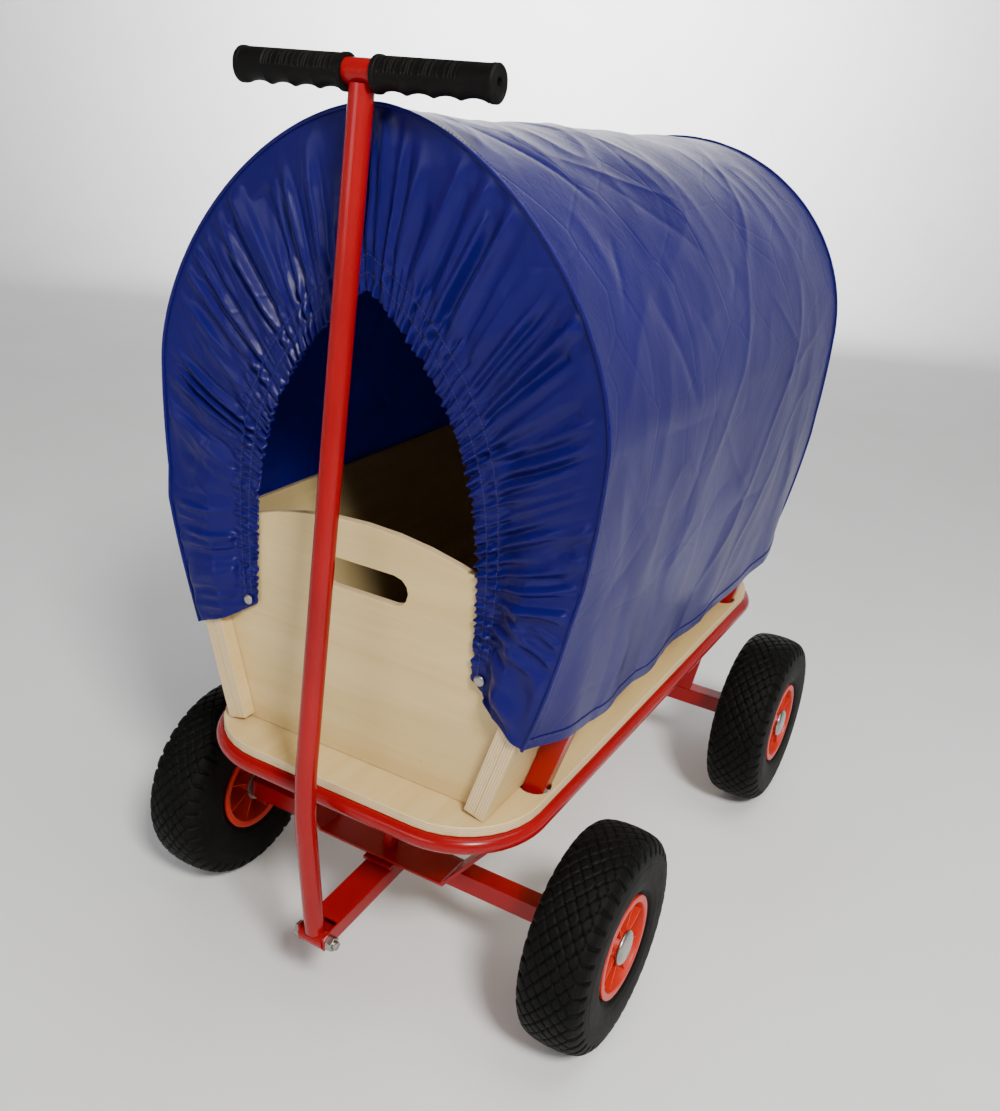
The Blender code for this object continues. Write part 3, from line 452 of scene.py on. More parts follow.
def half_arch(along, count):
    """Right half of the arch, hem to ridge, evenly spaced, as (x, z)."""
    shares, tucks, hems = zip(*COVER_ROWS)
    tuck, hem = float(np.interp(along, shares, tucks)), float(np.interp(along, shares, hems))
    width, rise, roundness = [a + (b - a) * along for a, b in zip(FRONT_ARCH, REAR_ARCH)]
    z_low = np.linspace(hem, WIDEST_Z, 40)
    low = np.stack([width - tuck * (WIDEST_Z - z_low) ** 2, z_low], axis=1)
    angle = np.linspace(0, np.pi / 2, 90)[1:]
    x = width * np.clip(np.cos(angle), 0, 1) ** (2 / roundness)
    x[-1] = 0.0
    top = np.stack([x, WIDEST_Z + rise * np.sin(angle) ** (2 / roundness)], axis=1)
    return resample(np.concatenate([low, top]), count)


def both_halves(right):
    """Mirror a right half that ends on the middle, giving left hem to right hem."""
    left = right * np.array([-1.0] + [1.0] * (right.shape[1] - 1))
    return np.concatenate([left, right[-2::-1]])


def cover_row(along):
    row = both_halves(half_arch(along, COLUMNS // 2 + 1))
    y = MID_Y + end_y(row[:, 1]) * (2 * along - 1)
    return np.stack([row[:, 0], y, row[:, 1]], axis=1)


def door_row():
    share = np.linspace(0, 1, 200)
    right = np.stack([DOOR_HALF_WIDTH * (1 - share ** DOOR_ROUNDNESS),
                      DOOR_BOTTOM_Z + DOOR_HEIGHT * share], axis=1)
    right[-1, 0] = 0.0
    row = both_halves(resample(right, COLUMNS // 2 + 1))
    return np.stack([row[:, 0], np.full(len(row), MID_Y - DOOR_Y), row[:, 1]], axis=1)


def lengths_along(line):
    """Distance of each point from the start of its line."""
    return np.concatenate(([0.0], np.cumsum(np.linalg.norm(np.diff(line, axis=0), axis=1))))


def smooth_columns(rows, passes):
    """Ease the kinks between the rows that the cover is drawn from."""
    for _ in range(passes):
        rows[1:-1] = (rows[:-2] + 2 * rows[1:-1] + rows[2:]) / 4
    return rows


def build_cover():
    """Grid from the door edge over the roof to the middle of the rear, then wrinkled."""
    arch, door = cover_row(0.0), door_row()
    front = []
    for share in FRONT_SHARES:
        row = arch + (door - arch) * share
        flat = MID_Y - end_y(row[:, 2])
        recess = np.interp(share, (0.50, 0.72, 1.0), (0.0, 0.9, 1.0))
        row[:, 1] = flat + (MID_Y - DOOR_Y - flat) * recess
        front.append(row)
    roof = smooth_columns(np.array([cover_row(v) for v in np.linspace(0, 1, ROOF_ROWS)]), 12)
    last = roof[-1]
    rear = []
    for share in np.linspace(0, 1, REAR_ROWS + 1)[1:]:
        row = last.copy()
        row[:, 0] *= 1 - share
        low = np.clip(1 - (last[:, 2] - last[0, 2]) / 0.14, 0, 1)
        row[:, 2] += 0.05 * (1 - (1 - share) ** 2) * low
        row[:, 1] = MID_Y + end_y(row[:, 2])
        rear.append(row)
    rows = np.concatenate([np.array(front), roof, np.array(rear)])
    hitch = smoothstep(0.15, 0.24, -rows[:, :, 0]) * (1 - smoothstep(0.42, 0.62, rows[:, :, 2]))
    back = np.clip((np.arange(len(rows)) - FRONT_ROWS) / ROOF_ROWS, 0, 1)[:, None]
    rows[:, :, 2] += LEFT_HITCH * hitch * (1 - smoothstep(0.0, 0.3, back))
    return rows, lengths_along(rows[:, COLUMNS // 4]), lengths_along(arch)


def row_normals(rows):
    """Outward unit normals of the cover grid."""
    across = np.gradient(rows, axis=1)
    down = np.gradient(rows, axis=0)
    normal = np.cross(down, across)
    length = np.linalg.norm(normal, axis=2, keepdims=True)
    normal = normal / np.maximum(length, 1e-12)
    outward = rows - np.array([0.0, MID_Y, 0.62])
    flip = np.sign((normal * outward).sum(axis=2, keepdims=True))
    return normal * np.where(flip == 0, 1, flip)


def folded(phase, sharp=0.5):
    """Wave in -1..1 whose crests run from round to creased."""
    return (1 - sharp) * np.sin(2 * np.pi * phase) + sharp * (1 - 4 * np.abs((phase + 0.25) % 1 - 0.5))


def front_folds(column, shares):
    """Radial pleats: fine puckers at the gathered door edge that open out to the arch."""
    c, s = column[None, :], shares[:, None]
    drift = 0.55 * lattice_noise(c * 30, s * 0.8, 3)
    fine = folded(c * PUCKERS + drift + 0.30 * lattice_noise(c * 110, s * 7, 4), 0.3)
    medium = folded(c * 64 + 1.5 * lattice_noise(c * 17, s * 0.5, 5), 0.6)
    broad = folded(c * 31 + 1.3 * lattice_noise(c * 11, s * 0.4, 6), 0.7)

    def length(seed, count):
        return np.clip(0.60 + 0.95 * lattice_noise(c * count, s * 0.9, seed), 0.0, 1.4)

    uneven = np.clip(0.75 + 0.5 * lattice_noise(c * 120, s * 12, 7), 0, 1.3)
    lift = 0.0025 * fine * smoothstep(0.66, 0.80, s) * uneven
    lift = lift + 0.0046 * medium * bump_window(0.38, 0.80, s, 0.34) * length(8, 70)
    lift = lift + 0.0046 * broad * bump_window(0.10, 0.66, s, 0.09) * length(9, 36)
    crumple = 0.0007 * (1 - 2.4 * np.abs(lattice_noise(c * 60 + s * 2, s * 4, 19)))
    return lift + crumple * smoothstep(0.02, 0.2, s)


def gather_band(shares):
    """Two lines of elastic pinch the cloth beside the door edge; the edge flares."""
    s = shares[:, None]
    pinch = 1
    for elastic in ELASTIC_SHARES[::-1]:
        pinch = pinch - 0.8 * np.exp(-((s - elastic) / 0.022) ** 2)
    return pinch * (1 + 0.35 * smoothstep(0.94, 1.0, s))


def crease_marks(u, v, count, seed):
    """Short straight creases left from folding and packing, scattered over the sheet."""
    random = np.random.RandomState(seed)
    total = np.zeros(np.broadcast(u, v).shape)
    for _ in range(count):
        cu, cv = random.uniform(0, u.max()), random.uniform(v.min(), v.max())
        turn = random.choice([0.15, 0.9, 1.45, 2.1, 2.8]) + random.normal(0, 0.22)
        half_length, width = random.uniform(0.03, 0.13), random.uniform(0.004, 0.010)
        height = random.uniform(0.0005, 0.0016) * random.choice([-1, 1])
        along = (u - cu) * math.cos(turn) + (v - cv) * math.sin(turn)
        away = (v - cv) * math.cos(turn) - (u - cu) * math.sin(turn)
        away = away + 0.35 * along ** 2 * random.uniform(-1, 1)
        total += height * np.exp(-np.abs(away) / width) * np.clip(1 - (along / half_length) ** 2, 0, 1)
    return total


def wrinkle(rows, flat_lengths, arch_length):
    """Lift the smooth cover into its pleats, folds, sag and creases."""
    normals = row_normals(rows)
    lift = np.zeros(rows.shape[:2])
    shares = FRONT_SHARES
    u, v = arch_length[None, :], flat_lengths[:, None]
    column = np.linspace(0, 1, rows.shape[1])
    lift[FRONT] += front_folds(column, shares) * gather_band(shares)
    low = 1 - smoothstep(0.50, 0.60, rows[FRONT][:, :, 2])
    slant = folded(column[None, :] * 34 + shares[:, None] * 2.4 * np.sign(column - 0.5)[None, :]
                   + 1.3 * lattice_noise(column[None, :] * 16, shares[:, None] * 1.2, 23), 0.6)
    lift[FRONT] *= 1 - 0.55 * low * bump_window(0.0, 0.70, shares[:, None], 0.08)
    lift[FRONT] += low * bump_window(0.10, 0.66, shares[:, None], 0.10) * 0.0034 * (1 + slant)
    floor = np.interp(shares, (0.70, 0.80), (0.0006, -0.0022))[:, None]
    floor = floor - 0.012 * smoothstep(0.575, 0.66, rows[FRONT][:, :, 2])
    by_hoop = (1 - smoothstep(0.14, 0.24, shares))[:, None]
    floor = np.maximum(floor, -0.0012 * by_hoop - 0.02 * (1 - by_hoop))
    snap_low, snap_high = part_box("snap_right")
    snap_x = snap_low.x / 2 + snap_high.x / 2
    near = np.hypot(np.abs(rows[FRONT][:, :, 0]) - snap_x, rows[FRONT][:, :, 2] - snap_low.z - 0.006)
    lift[FRONT] = np.maximum(lift[FRONT], floor) * smoothstep(0.007, 0.024, near)
    half = arch_length[-1] / 2
    drop = np.abs(u - half) / half                         # 0 at the ridge, 1 at the hems
    along = np.linspace(0, 1, ROOF_ROWS)[:, None]
    free = np.sin(np.pi * along) ** 0.6                    # held at both hoops
    slack = 0.0028 * lattice_noise(u * 4.2, v * 5.5, 11)
    slack = slack + 0.0016 * lattice_noise(u * 9 + v * 5, v * 11 - u * 3, 12)
    diagonal = 0.0016 * (1 - 2 * np.abs(lattice_noise(u * 7 + v * 9, v * 5 - u * 4, 13))) ** 3
    wave = np.sin(2 * np.pi * (v * 8.5 + 0.8 * lattice_noise(u * 2.5, v * 3, 14)))
    ripples = 0.0046 * smoothstep(0.45, 1.0, drop) * wave * (0.6 + 0.6 * lattice_noise(u * 3, v * 7, 15))
    sag = -0.0045 * (1 - drop ** 2)
    rise = (slack + diagonal + ripples + sag)[ROOF] * free
    creases = 0.0005 * (1 - 2.2 * np.abs(lattice_noise(u * 15, v * 21, 16)))
    creases = creases + crease_marks(u, v, PACKING_CREASES, CREASE_SEED)
    rise += creases[ROOF] * np.minimum(1, free * 1.6)
    floor = -0.0010 - 0.012 * smoothstep(0.555, 0.66, rows[ROOF][:, :, 2])
    lift[ROOF] += np.maximum(rise, floor)
    inner = np.linspace(0, 1, REAR_ROWS + 1)[1:][:, None]
    rear_waves = 0.0030 * np.sin(2 * np.pi * (u / 0.055 + 0.8 * lattice_noise(u * 8, inner, 17)))
    lift[REAR] += rear_waves * bump_window(0.10, 0.55, inner, 0.35)
    moved = rows + normals * lift[:, :, None]
    radial = rows[0] - rows[4]
    radial /= np.maximum(np.linalg.norm(radial, axis=1, keepdims=True), 1e-9)
    drift = 0.55 * lattice_noise(column * 30, 1.3, 3)
    teeth = 0.0021 * np.abs(np.sin(np.pi * (column * PUCKERS + drift))) - 0.0012
    for i, share in enumerate(shares[:7]):
        moved[i] += radial * (teeth * smoothstep(0.90, 1.0, share))[:, None]
    return moved


def cover_object():
    rows, flat_lengths, arch_length = build_cover()
    moved = wrinkle(rows, flat_lengths, arch_length)
    columns = moved.shape[1]
    faces = grid_faces(len(moved), columns)
    obj = mesh_object("canopy_cover_cloth", moved.reshape(-1, 3), faces, [CLOTH])
    layer = obj.data.uv_layers.new(name="cloth")
    loops = np.zeros(len(obj.data.loops), int)
    obj.data.loops.foreach_get("vertex_index", loops)
    u, v = arch_length[loops % columns], flat_lengths[loops // columns]
    layer.data.foreach_set("uv", np.stack([u, v], axis=1).astype(np.float32).ravel())
    bm = bmesh.new()
    bm.from_mesh(obj.data)
    bmesh.ops.remove_doubles(bm, verts=bm.verts, dist=2e-5)
    bmesh.ops.recalc_face_normals(bm, faces=bm.faces)
    top = max(bm.faces, key=lambda face: face.calc_center_median().z)
    if top.normal.z < 0:
        bmesh.ops.reverse_faces(bm, faces=bm.faces)
    bm.to_mesh(obj.data)
    bm.free()
    skin = obj.modifiers.new("cloth", "SOLIDIFY")
    skin.thickness = CLOTH_THICKNESS
    skin.offset = -1.0
    return obj, moved


def offset_line(points, normals, distance):
    return points + normals * distance


def strip(name, inner, outer, normals, thickness, material):
    """Narrow raised band of cloth between two lines."""
    top_in, top_out = offset_line(inner, normals, thickness), offset_line(outer, normals, thickness)
    low_in, low_out = offset_line(inner, normals, -0.0004), offset_line(outer, normals, -0.0004)
    verts = np.concatenate([low_in, top_in, top_out, low_out])
    count = len(inner)
    faces = grid_faces(4, count, wrap_rows=True)
    ends = [(0, count, 2 * count, 3 * count), (count - 1, 4 * count - 1, 3 * count - 1, 2 * count - 1)]
    return tidy_normals(mesh_object(name, verts, faces + ends, [material]), sharp_degrees=60)


def stitches(name, line, normals, material, length=0.0026, pitch=0.0042, radius=0.00035):
    """Row of short thread dashes along a line on the cloth."""
    steps = lengths_along(line)
    starts = np.arange(pitch / 2, steps[-1] - length, pitch)

    def at(where, data):
        return np.stack([np.interp(where, steps, data[:, i]) for i in range(3)], axis=1)

    a, b = at(starts, line), at(starts + length, line)
    n = at(starts + length / 2, normals)
    n /= np.linalg.norm(n, axis=1, keepdims=True)
    d = b - a
    d /= np.linalg.norm(d, axis=1, keepdims=True)
    side = np.cross(d, n)
    verts, faces = [], []
    for i in range(len(a)):
        base = len(verts)
        middle = (a[i] + b[i]) / 2 + n[i] * radius * 1.2
        for point, size in ((a[i], 0.4), (middle, 1.0), (b[i], 0.4)):
            for su, sn in ((-1, 0), (0, 1), (1, 0), (0, -1)):
                verts.append(point + side[i] * su * radius * size + n[i] * sn * radius * size)
        for ring in (0, 4):
            first = base + ring
            faces += [(first + k, first + (k + 1) % 4, first + 4 + (k + 1) % 4, first + 4 + k)
                      for k in range(4)]
        faces += [(base + 3, base + 2, base + 1, base), (base + 8, base + 9, base + 10, base + 11)]
    return tidy_normals(mesh_object(name, verts, faces, [material]), weld=1e-9)


def cover_trim(moved):
    """Piping on the arch seams, hem bands, elastic casing lines and stitching."""
    normals = row_normals(moved)
    pieces = []
    for name, row in (("front", ROOF.start), ("rear", ROOF.stop - 1)):
        out = (normals[row - 2] + normals[row + 2])
        out /= np.linalg.norm(out, axis=1, keepdims=True)
        pieces.append(tube("cover_piping_" + name, moved[row][::2] + out[::2] * 0.0008, 0.0019, CLOTH, 10))
        inner_row = row + 2 if name == "front" else row - 2
        pieces.append(stitches("cover_seam_stitch_" + name, moved[inner_row] + normals[inner_row] * 0.0004,
                               normals[inner_row], THREAD))
    for side, word in SIDES:
        edge, above = (0, 7) if side < 0 else (-1, -8)
        pieces.append(strip("cover_hem_" + word, moved[ROOF, edge], moved[ROOF, above], normals[ROOF, above],
                            0.0009, CLOTH))
        line = moved[ROOF, above] * 0.85 + moved[ROOF, edge] * 0.15
        pieces.append(stitches("cover_hem_stitch_" + word, line + normals[ROOF, above] * 0.0011,
                               normals[ROOF, above], THREAD))
    for index, share in enumerate(ELASTIC_SHARES):
        row = int(np.argmin(np.abs(FRONT_SHARES - share)))
        pieces.append(stitches("cover_gather_stitch_%d" % (index + 1), moved[row] + normals[row] * 0.0005,
                               normals[row], THREAD, length=0.0022, pitch=0.0034))
    return pieces


# -------------------------------------------------------------------- wheels
TYRE_OUTER = ((0.0545, 0.0315), (0.0600, 0.0322), (0.0640, 0.0345), (0.0700, 0.0388), (0.0790, 0.0408),
              (0.0930, 0.0415), (0.1050, 0.0408), (0.1130, 0.0395), (0.1190, 0.0370), (0.1240, 0.0325),
              (0.1265, 0.0280), (0.1285, 0.0200), (0.1297, 0.0100), (0.1300, 0.0000))
TYRE_INNER = ((0.1220, 0.0), (0.1205, 0.0160), (0.1130, 0.0320), (0.0900, 0.0365), (0.0680, 0.0330),
              (0.0545, 0.0250))
TREAD_BLOCKS = 40
GROOVE_DEPTH = 0.0030
DIAMOND_WIDTH = 0.0150


def tread_depth(offset, angle, radius):
    """Groove depth of the tread: crossed diagonals, a small x at each crossing and shoulder lugs."""
    arc = angle * TREAD_BLOCKS / (2 * np.pi)
    across = offset / DIAMOND_WIDTH
    first = np.abs((arc + across + 0.5) % 1 - 0.5)
    second = np.abs((arc - across + 0.5) % 1 - 0.5)
    groove = 1 - smoothstep(0.035, 0.085, np.minimum(first, second))
    crossing = 1 - smoothstep(0.06, 0.15, np.maximum(first, second))
    crown = 1 - smoothstep(0.0285, 0.0315, np.abs(offset))
    shoulder = np.abs((arc + 0.5) % 1 - 0.5)
    lug = 1 - smoothstep(0.10, 0.17, shoulder)
    on_shoulder = smoothstep(0.0300, 0.0320, np.abs(offset)) * smoothstep(0.1090, 0.1120, radius)
    centre_cut = np.maximum(groove * 0.62, crossing)
    return GROOVE_DEPTH * np.maximum(centre_cut * crown * (radius > 0.12), lug * on_shoulder)


def tyre_object(name, centre, side):
    outer = resample([(r, z) for r, z in TYRE_OUTER], 76)
    right = outer[:-1]
    ring = [tuple(p) for p in right] + [tuple(outer[-1])] + [(r, -z) for r, z in right[::-1]]
    inner = [(r, -z) for r, z in TYRE_INNER[::-1]] + [(r, z) for r, z in TYRE_INNER[1:]]
    profile = ring + inner
    steps = TREAD_BLOCKS * 13
    angles = np.linspace(0, 2 * np.pi, steps, endpoint=False)
    radii = np.array([p[0] for p in profile])[:, None]
    offsets = np.array([p[1] for p in profile])[:, None]
    is_outer = (np.arange(len(profile)) < len(ring))[:, None]
    slope = np.gradient(np.array(ring), axis=0)
    out = np.stack([-slope[:, 1], slope[:, 0]], axis=1)
    out /= np.linalg.norm(out, axis=1, keepdims=True)
    out *= np.sign(out[len(ring) // 2, 0])
    out = np.concatenate([out, np.zeros((len(inner), 2))])
    depth = np.where(is_outer, tread_depth(offsets, angles[None, :], radii), 0.0)
    ribs = 0.0004 * np.exp(-((radii - 0.098) / 0.0012) ** 2)
    ribs = ribs + 0.0005 * np.exp(-((radii - 0.068) / 0.0012) ** 2)
    lift = np.where(is_outer & (np.abs(offsets) > 0.03), ribs, 0.0) - depth
    r = radii + out[:, :1] * lift
    x = offsets + out[:, 1:] * lift
    verts = np.stack([centre[0] + side * x, centre[1] + r * np.cos(angles),
                      centre[2] + r * np.sin(angles)], axis=2)
    faces = grid_faces(len(profile), steps, wrap_rows=True, wrap_columns=True)
    obj = mesh_object(name, verts.reshape(-1, 3), faces, [TYRE])
    return tidy_normals(obj, sharp_degrees=50)


def rim_object(name, centre, side):
    """Moulded rim: rolled flanges, dished web, tapered ribs and hub."""
    flange = [(0.0519, 0.0340), (0.0527, 0.0366), (0.0541, 0.0376), (0.0590, 0.0378), (0.0608, 0.0372),
              (0.0613, 0.0358), (0.0610, 0.0342), (0.0590, 0.0336), (0.0550, 0.0334), (0.0540, 0.0325)]
    web = [(0.0494, 0.0060), (0.0470, 0.0034), (0.0430, 0.0028), (0.0240, 0.0028), (0.0195, 0.0040),
           (0.0178, 0.0080)]
    hub = [(0.0165, 0.0335), (0.0160, 0.0345), (0.0130, 0.0345), (0.0125, 0.0338)]
    half = hub[::-1] + web[::-1] + flange
    profile = half + [(r, -z) for r, z in half[::-1]]
    rim = turned(name + "_body", profile, 96, centre, side, [PLASTIC])
    bm = bmesh.new()
    for i in range(RIM_RIBS):
        turn = Matrix.Rotation(2 * math.pi * (i + 0.5) / RIM_RIBS, 4, "X")
        for face_side in (-1, 1):
            corners = [(0.0165, 0.0030), (0.0500, 0.0030), (0.0524, 0.0338), (0.0165, 0.0328)]
            verts = []
            for thick in (-0.0014, 0.0014):
                for radius, offset in corners:
                    draft = 0.65 if offset > 0.01 else 1.0
                    point = Vector((face_side * side * offset, thick * draft, radius))
                    verts.append(bm.verts.new(Vector(centre) + (turn @ point)))
            bm.faces.new(verts[:4])
            bm.faces.new(verts[7:3:-1])
            for k in range(4):
                bm.faces.new((verts[k], verts[4 + k], verts[4 + (k + 1) % 4], verts[(k + 1) % 4]))
    bmesh.ops.recalc_face_normals(bm, faces=bm.faces)
    mesh = bpy.data.meshes.new(name + "_ribs")
    bm.to_mesh(mesh)
    bm.free()
    mesh.materials.append(PLASTIC)
    ribs = bpy.data.objects.new(name + "_ribs", mesh)
    bpy.context.scene.collection.objects.link(ribs)
    edge = ribs.modifiers.new("soft", "BEVEL")
    edge.width = 0.0006
    edge.segments = 2
    return rim, ribs


def cap_object(name, x, centre, side):
    radius = 0.0206
    profile = [(0.0002, 0.0052), (0.0060, 0.0052), (0.0130, 0.0048), (0.0172, 0.0040), (0.0194, 0.0028),
               (0.0203, 0.0016), (radius, 0.0008), (radius, 0.0), (0.0190, 0.0), (0.0185, 0.0012),
               (0.0002, 0.0022)]
    return turned(name, profile, 64, (x, centre[1], centre[2]), side, [ZINC])


def wheels():
    for end, word, side in CORNERS:
        corner = end + "_" + word
        low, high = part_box("tyre_" + corner)
        centre = (low + high) / 2
        body = "wheel_" + corner
        tyre = tyre_object("tyre_tread_" + corner, centre, side)
        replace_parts(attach(tyre, body), "tyre_" + corner)
        rim, ribs = rim_object("rim_moulded_" + corner, centre, side)
        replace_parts(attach(rim, body), "rim_" + corner)
        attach(ribs, body)
        angle = math.radians(-60.5)
        root = centre + Vector((side * 0.0025, 0.0455 * math.cos(angle), 0.0455 * math.sin(angle)))
        stem_line = [root, root + Vector((side * 0.010, 0, 0)), root + Vector((side * 0.020, -0.001, 0.001))]
        stem = tube("valve_stem_" + corner, stem_line, 0.0042, TYRE, 20)
        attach(stem, body)
        cap_low, cap_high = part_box("hub_cap_" + corner)
        x = cap_low.x if side > 0 else cap_high.x
        holder = "chassis" if end == "rear" else "steering"
        cap = cap_object("hub_cap_pressed_" + corner, x, centre, side)
        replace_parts(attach(cap, holder), "hub_cap_" + corner)


# -------------------------------------------------------------- frame pieces
def rounded_rectangle(half_x, half_y, radius, count=16):
    points = []
    for sx, sy, start in ((1, 1, 0), (-1, 1, 90), (-1, -1, 180), (1, -1, 270)):
        for i in range(count + 1):
            a = math.radians(start + 90 * i / count)
            points.append((sx * (half_x - radius) + radius * math.cos(a),
                           sy * (half_y - radius) + radius * math.sin(a)))
    return points


def ring():
    low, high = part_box("frame_ring")
    z = (low.z + high.z) / 2
    radius = (high.z - low.z) / 2
    loop = rounded_rectangle((high.x - low.x) / 2 - radius, (high.y - low.y) / 2 - radius, 0.0976)
    obj = tube("frame_ring_tube", [(x, MID_Y + y, z) for x, y in loop], radius, PAINT, 24, closed=True)
    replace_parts(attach(obj, "chassis"), "frame_ring")


def smooth_line(points, count):
    """Catmull-Rom line through points."""
    points = np.asarray(points, float)
    padded = np.concatenate([2 * points[:1] - points[1:2], points, 2 * points[-1:] - points[-2:-1]])
    line = []
    for i in range(len(points) - 1):
        p0, p1, p2, p3 = padded[i:i + 4]
        for t in np.linspace(0, 1, 12, endpoint=False):
            line.append(0.5 * (2 * p1 + (p2 - p0) * t + (2 * p0 - 5 * p1 + 4 * p2 - p3) * t ** 2
                               + (3 * p1 - p0 - 3 * p2 + p3) * t ** 3))
    line.append(points[-1])
    return resample(line, count)


HANDLE_LINE = ((-0.4520, 0.1145), (-0.4587, 0.1690), (-0.4652, 0.2280), (-0.4700, 0.2720), (-0.4712, 0.2900),
               (-0.4712, 0.3100), (-0.4702, 0.3400), (-0.4674, 0.3690), (-0.4468, 0.5650), (-0.3995, 1.0135))


def handle():
    line = smooth_line([(0.0, MID_Y + y, z) for y, z in HANDLE_LINE], 90)
    line = [p for p in line if 0.1245 < p[2] < 1.0045]
    shaft = tube("handle_shaft", line, 0.0115, PAINT, 28)
    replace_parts(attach(shaft, "handle"), "handle_tube")
    low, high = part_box("handle_cross_tube")
    centre = (low + high) / 2
    ends = [(x, centre.y, centre.z) for x in (-0.128, 0.128)]
    bar = tube("handle_cross_bar", ends, 0.011, PAINT, 32)
    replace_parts(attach(bar, "handle"), "handle_cross_tube")


def grip(side, word):
    """Moulded grip: finger scallops below, fine ribs above, collars at both ends."""
    low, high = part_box("handle_cross_tube")
    centre = (low + high) / 2
    start, length, radius = 0.0155, 0.1195, 0.0145
    along = np.linspace(0, 1, 361)
    around = np.linspace(0, 2 * np.pi, 80, endpoint=False)
    s, a = along[:, None], around[None, :]
    down = np.clip(-np.sin(a), 0, 1) ** 1.4
    fingers = 1 - np.abs(np.sin(np.pi * GRIP_FINGERS * np.clip((s - 0.03) / 0.90, 0, 1))) ** 0.8
    top = np.clip(np.sin(a - 0.45), 0, 1)
    ribbed = bump_window(0.06, 0.72, s, 0.01) * smoothstep(0.42, 0.52, top)
    ribs = smoothstep(0.35, 0.75, 0.5 - 0.5 * np.cos(2 * np.pi * s * GRIP_RIBS))
    r = radius - 0.0006 + 0.0027 * down * fingers - 0.0013 * ribbed * ribs
    r = r + 0.0008 * bump_window(0.0, 0.035, s, 0.004) + 0.0006 * bump_window(0.955, 1.0, s, 0.004)
    r = r * (1 - 0.10 * smoothstep(0.985, 1.0, s) ** 2)
    x = side * (start + length * s) + 0 * a
    y = centre.y + r * np.cos(a)
    z = centre.z + r * np.sin(a)
    outside = np.stack([x, y, z], axis=2)

    def circle(reach, size):
        x_at = side * (start + reach)
        return [(x_at, centre.y + size * math.cos(t), centre.z + size * math.sin(t)) for t in around]

    mouth = [circle(0.020, 0.0), circle(0.020, 0.0112), circle(0.0, 0.0112)]
    tip = [circle(length, 0.0085), circle(length - 0.0002, 0.0040), circle(length - 0.0010, 0.0036),
           circle(length - 0.0120, 0.0036), circle(length - 0.0121, 0.0)]
    grid = np.concatenate([np.array(mouth), outside, np.array(tip)])
    faces = grid_faces(len(grid), len(around), wrap_columns=True)
    obj = mesh_object("grip_rubber_" + word, grid.reshape(-1, 3), faces, [GRIP])
    tidy_normals(obj, sharp_degrees=50)
    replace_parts(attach(obj, "handle"), "grip_" + word)


def soften(node, width, material, segments=2):
    """Give a CAD piece its finish and slightly rounded edges."""
    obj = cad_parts[node]
    obj.data.materials.clear()
    obj.data.materials.append(material)
    for polygon in obj.data.polygons:
        polygon.material_index = 0
    if width:
        weld = obj.modifiers.new("weld", "WELD")
        weld.merge_threshold = 1e-5
        edge = obj.modifiers.new("edges", "BEVEL")
        edge.width = width
        edge.segments = segments
        edge.limit_method = "ANGLE"
        edge.angle_limit = math.radians(40)


def finish_frame():
    deck = plywood_material("ply_deck", (0, 0, 1), 0.012, 0.2985, (0, 1, 0))
    ends = plywood_material("ply_ends", (0, 1, 0), 0.010, 0.0, (1, 0, 0))
    soften("deck_board", 0.0022, deck, 3)
    for _, end in ENDS:
        soften(end + "_panel", 0.0012, ends)
    for side, word in SIDES:
        out = (side * math.cos(SIDE_LEAN), 0, -math.sin(SIDE_LEAN))
        ply = plywood_material("ply_side_" + word, out, 0.0125, 0.0785, (0, 1, 0))
        soften("side_panel_" + word, 0.0010, ply)
        for _, end in ENDS:
            soften("end_batten_" + end + "_" + word, 0.0010, ply)
    painted = ["cross_bar_front", "cross_bar_rear", "front_carrier", "kingpin", "rear_bracket",
               "rear_axle_beam", "front_axle_beam", "tongue_tube", "pivot_plate", "pivot_sleeve"]
    painted += ["stake_post_%s_%s" % (end, word) for _, end in ENDS for _, word in SIDES]
    for node in painted:
        soften(node, 0.0 if node in ("kingpin", "pivot_sleeve") else 0.0010, PAINT)
    for node in ("kingpin_nut", "pivot_bolt", "pivot_nut", "snap_left", "snap_right", "thrust_washer",
                 "front_axle_rod", "rear_axle_rod"):
        soften(node, 0.0003, ZINC)
    for end, word, _ in CORNERS:
        soften("washer_%s_%s" % (end, word), 0.0003, ZINC)
        soften("bush_%s_%s" % (end, word), 0.0, NYLON)
    for _, end in ENDS:
        soften("hoop_" + end, 0.0, ROD)


# -------------------------------------------------------------------- studio
CAMERA_PLACE = (0.6177, -1.2109, 1.0116)
CAMERA_AZIMUTH = 0.4943
CAMERA_ELEVATION = 0.4005
CAMERA_ROLL = 0.0791
CAMERA_LENS = 35.92


def camera():
    data = bpy.data.cameras.new("camera")
    data.lens = CAMERA_LENS
    data.sensor_width = 36.0
    data.clip_start, data.clip_end = 0.05, 50.0
    obj = bpy.data.objects.new("camera", data)
    bpy.context.scene.collection.objects.link(obj)
    az, el = CAMERA_AZIMUTH, CAMERA_ELEVATION
    back = Vector((math.sin(az) * math.cos(el), -math.cos(az) * math.cos(el), math.sin(el)))
    right = (-back).cross(Vector((0, 0, 1))).normalized()
    up = right.cross(-back)
    c, s = math.cos(CAMERA_ROLL), math.sin(CAMERA_ROLL)
    tilted_right, tilted_up = c * right + s * up, -s * right + c * up
    rotation = Matrix((tilted_right, tilted_up, back)).transposed().to_4x4()
    obj.matrix_world = Matrix.Translation(CAMERA_PLACE) @ rotation
    bpy.context.scene.camera = obj


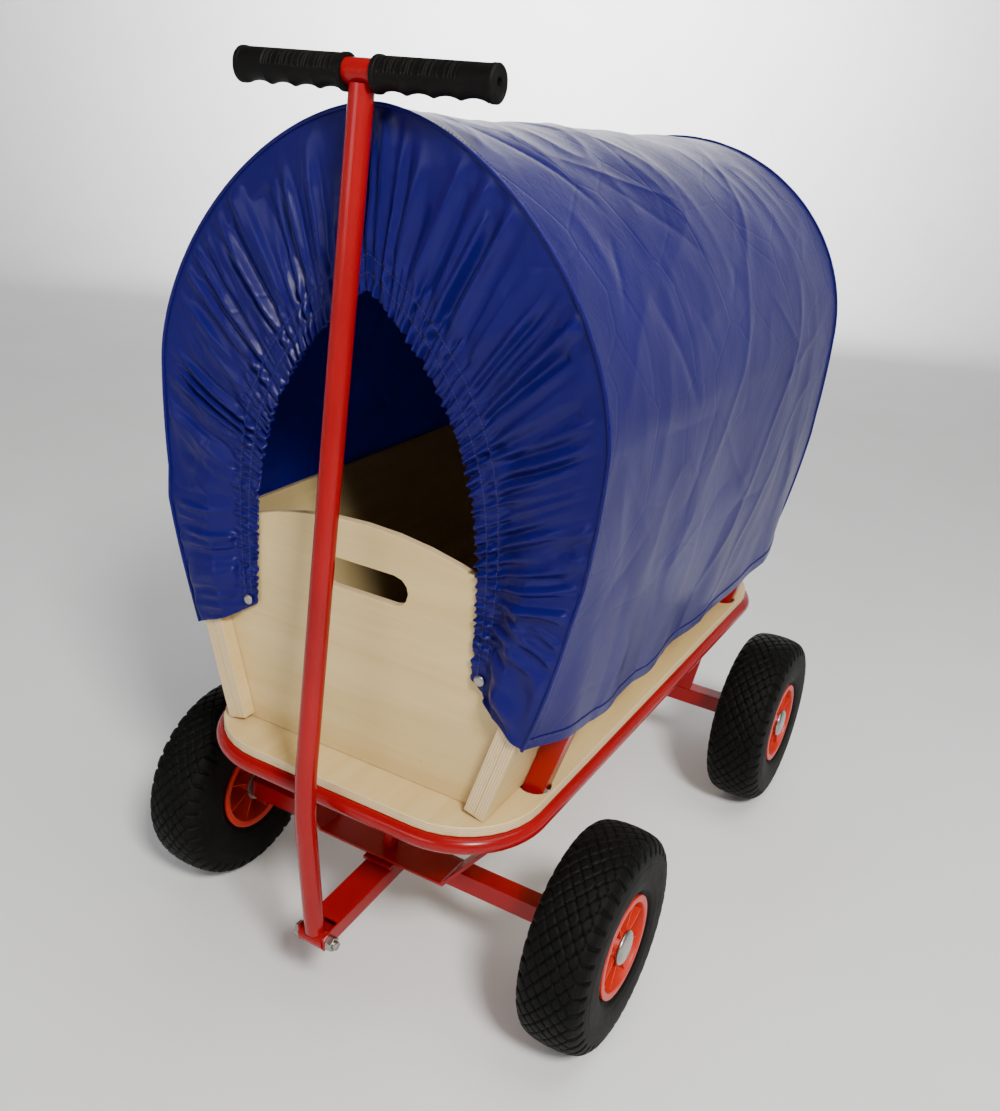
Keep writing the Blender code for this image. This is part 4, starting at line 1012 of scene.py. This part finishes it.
def area_light(name, place, target, size, power, colour=(1, 1, 1)):
    data = bpy.data.lights.new(name, "AREA")
    data.shape = "RECTANGLE"
    data.size, data.size_y = size
    data.energy = power
    data.color = colour
    obj = bpy.data.objects.new(name, data)
    bpy.context.scene.collection.objects.link(obj)
    obj.location = place
    obj.rotation_euler = (Vector(target) - Vector(place)).to_track_quat("-Z", "Y").to_euler()


def studio():
    world = bpy.data.worlds.new("studio")
    bpy.context.scene.world = world
    world.use_nodes = True
    background = world.node_tree.nodes["Background"]
    background.inputs["Color"].default_value = (0.95, 0.97, 1.0, 1.0)
    background.inputs["Strength"].default_value = 0.11
    target = (0.0, 0.0, 0.5)
    area_light("key", (1.95, -1.85, 2.75), target, (0.6, 0.6), 141, (1.0, 0.98, 0.94))
    area_light("top", (0.9, 0.0, 3.2), target, (2.0, 2.0), 44)
    area_light("fill", (-0.5, -3.0, 1.5), (0.0, 0.0, 0.6), (1.4, 0.8), 16, (0.95, 0.97, 1.0))
    area_light("backdrop", (-1.9, 3.6, 1.8), (-3.4, 6.6, 1.0), (2.5, 0.8), 190)
    profile = [(0.0, 0.0), (2.0, 0.0), (4.6, 0.0), (5.1, 0.07), (5.5, 0.30), (5.75, 0.75), (5.85, 1.4),
               (5.9, 3.4)]
    profile = smooth_line([(r, 0.0, z) for r, z in profile], 60)
    angles = np.linspace(0, 2 * np.pi, 96, endpoint=False)
    verts = [(p[0] * math.cos(a), p[0] * math.sin(a), p[2]) for p in profile[1:] for a in angles]
    faces = [face[::-1] for face in grid_faces(len(profile) - 1, 96, wrap_columns=True)]
    verts.append((0.0, 0.0, 0.0))
    faces += [(i, (i + 1) % 96, len(verts) - 1) for i in range(96)]
    floor = mesh_object("floor", verts, faces)
    m = Nodes("floor_white", (0.85, 0.85, 0.85), 0.85)
    m.base(m.ramp(m.noise(m.scaled((1, 1, 1)), 3.0), [(0.3, (0.83, 0.83, 0.83)), (0.7, (0.86, 0.86, 0.86))]))
    floor.data.materials.append(m.material)


# ------------------------------------------------------------------ assembly
def canopy():
    cover, moved = cover_object()
    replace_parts(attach(cover, "chassis"), "canopy_cover")
    trims = cover_trim(moved)
    for piece in trims:
        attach(piece, "chassis")


camera()
studio()
finish_frame()
ring()
handle()
for grip_side, grip_word in SIDES:
    grip(grip_side, grip_word)
wheels()
canopy()
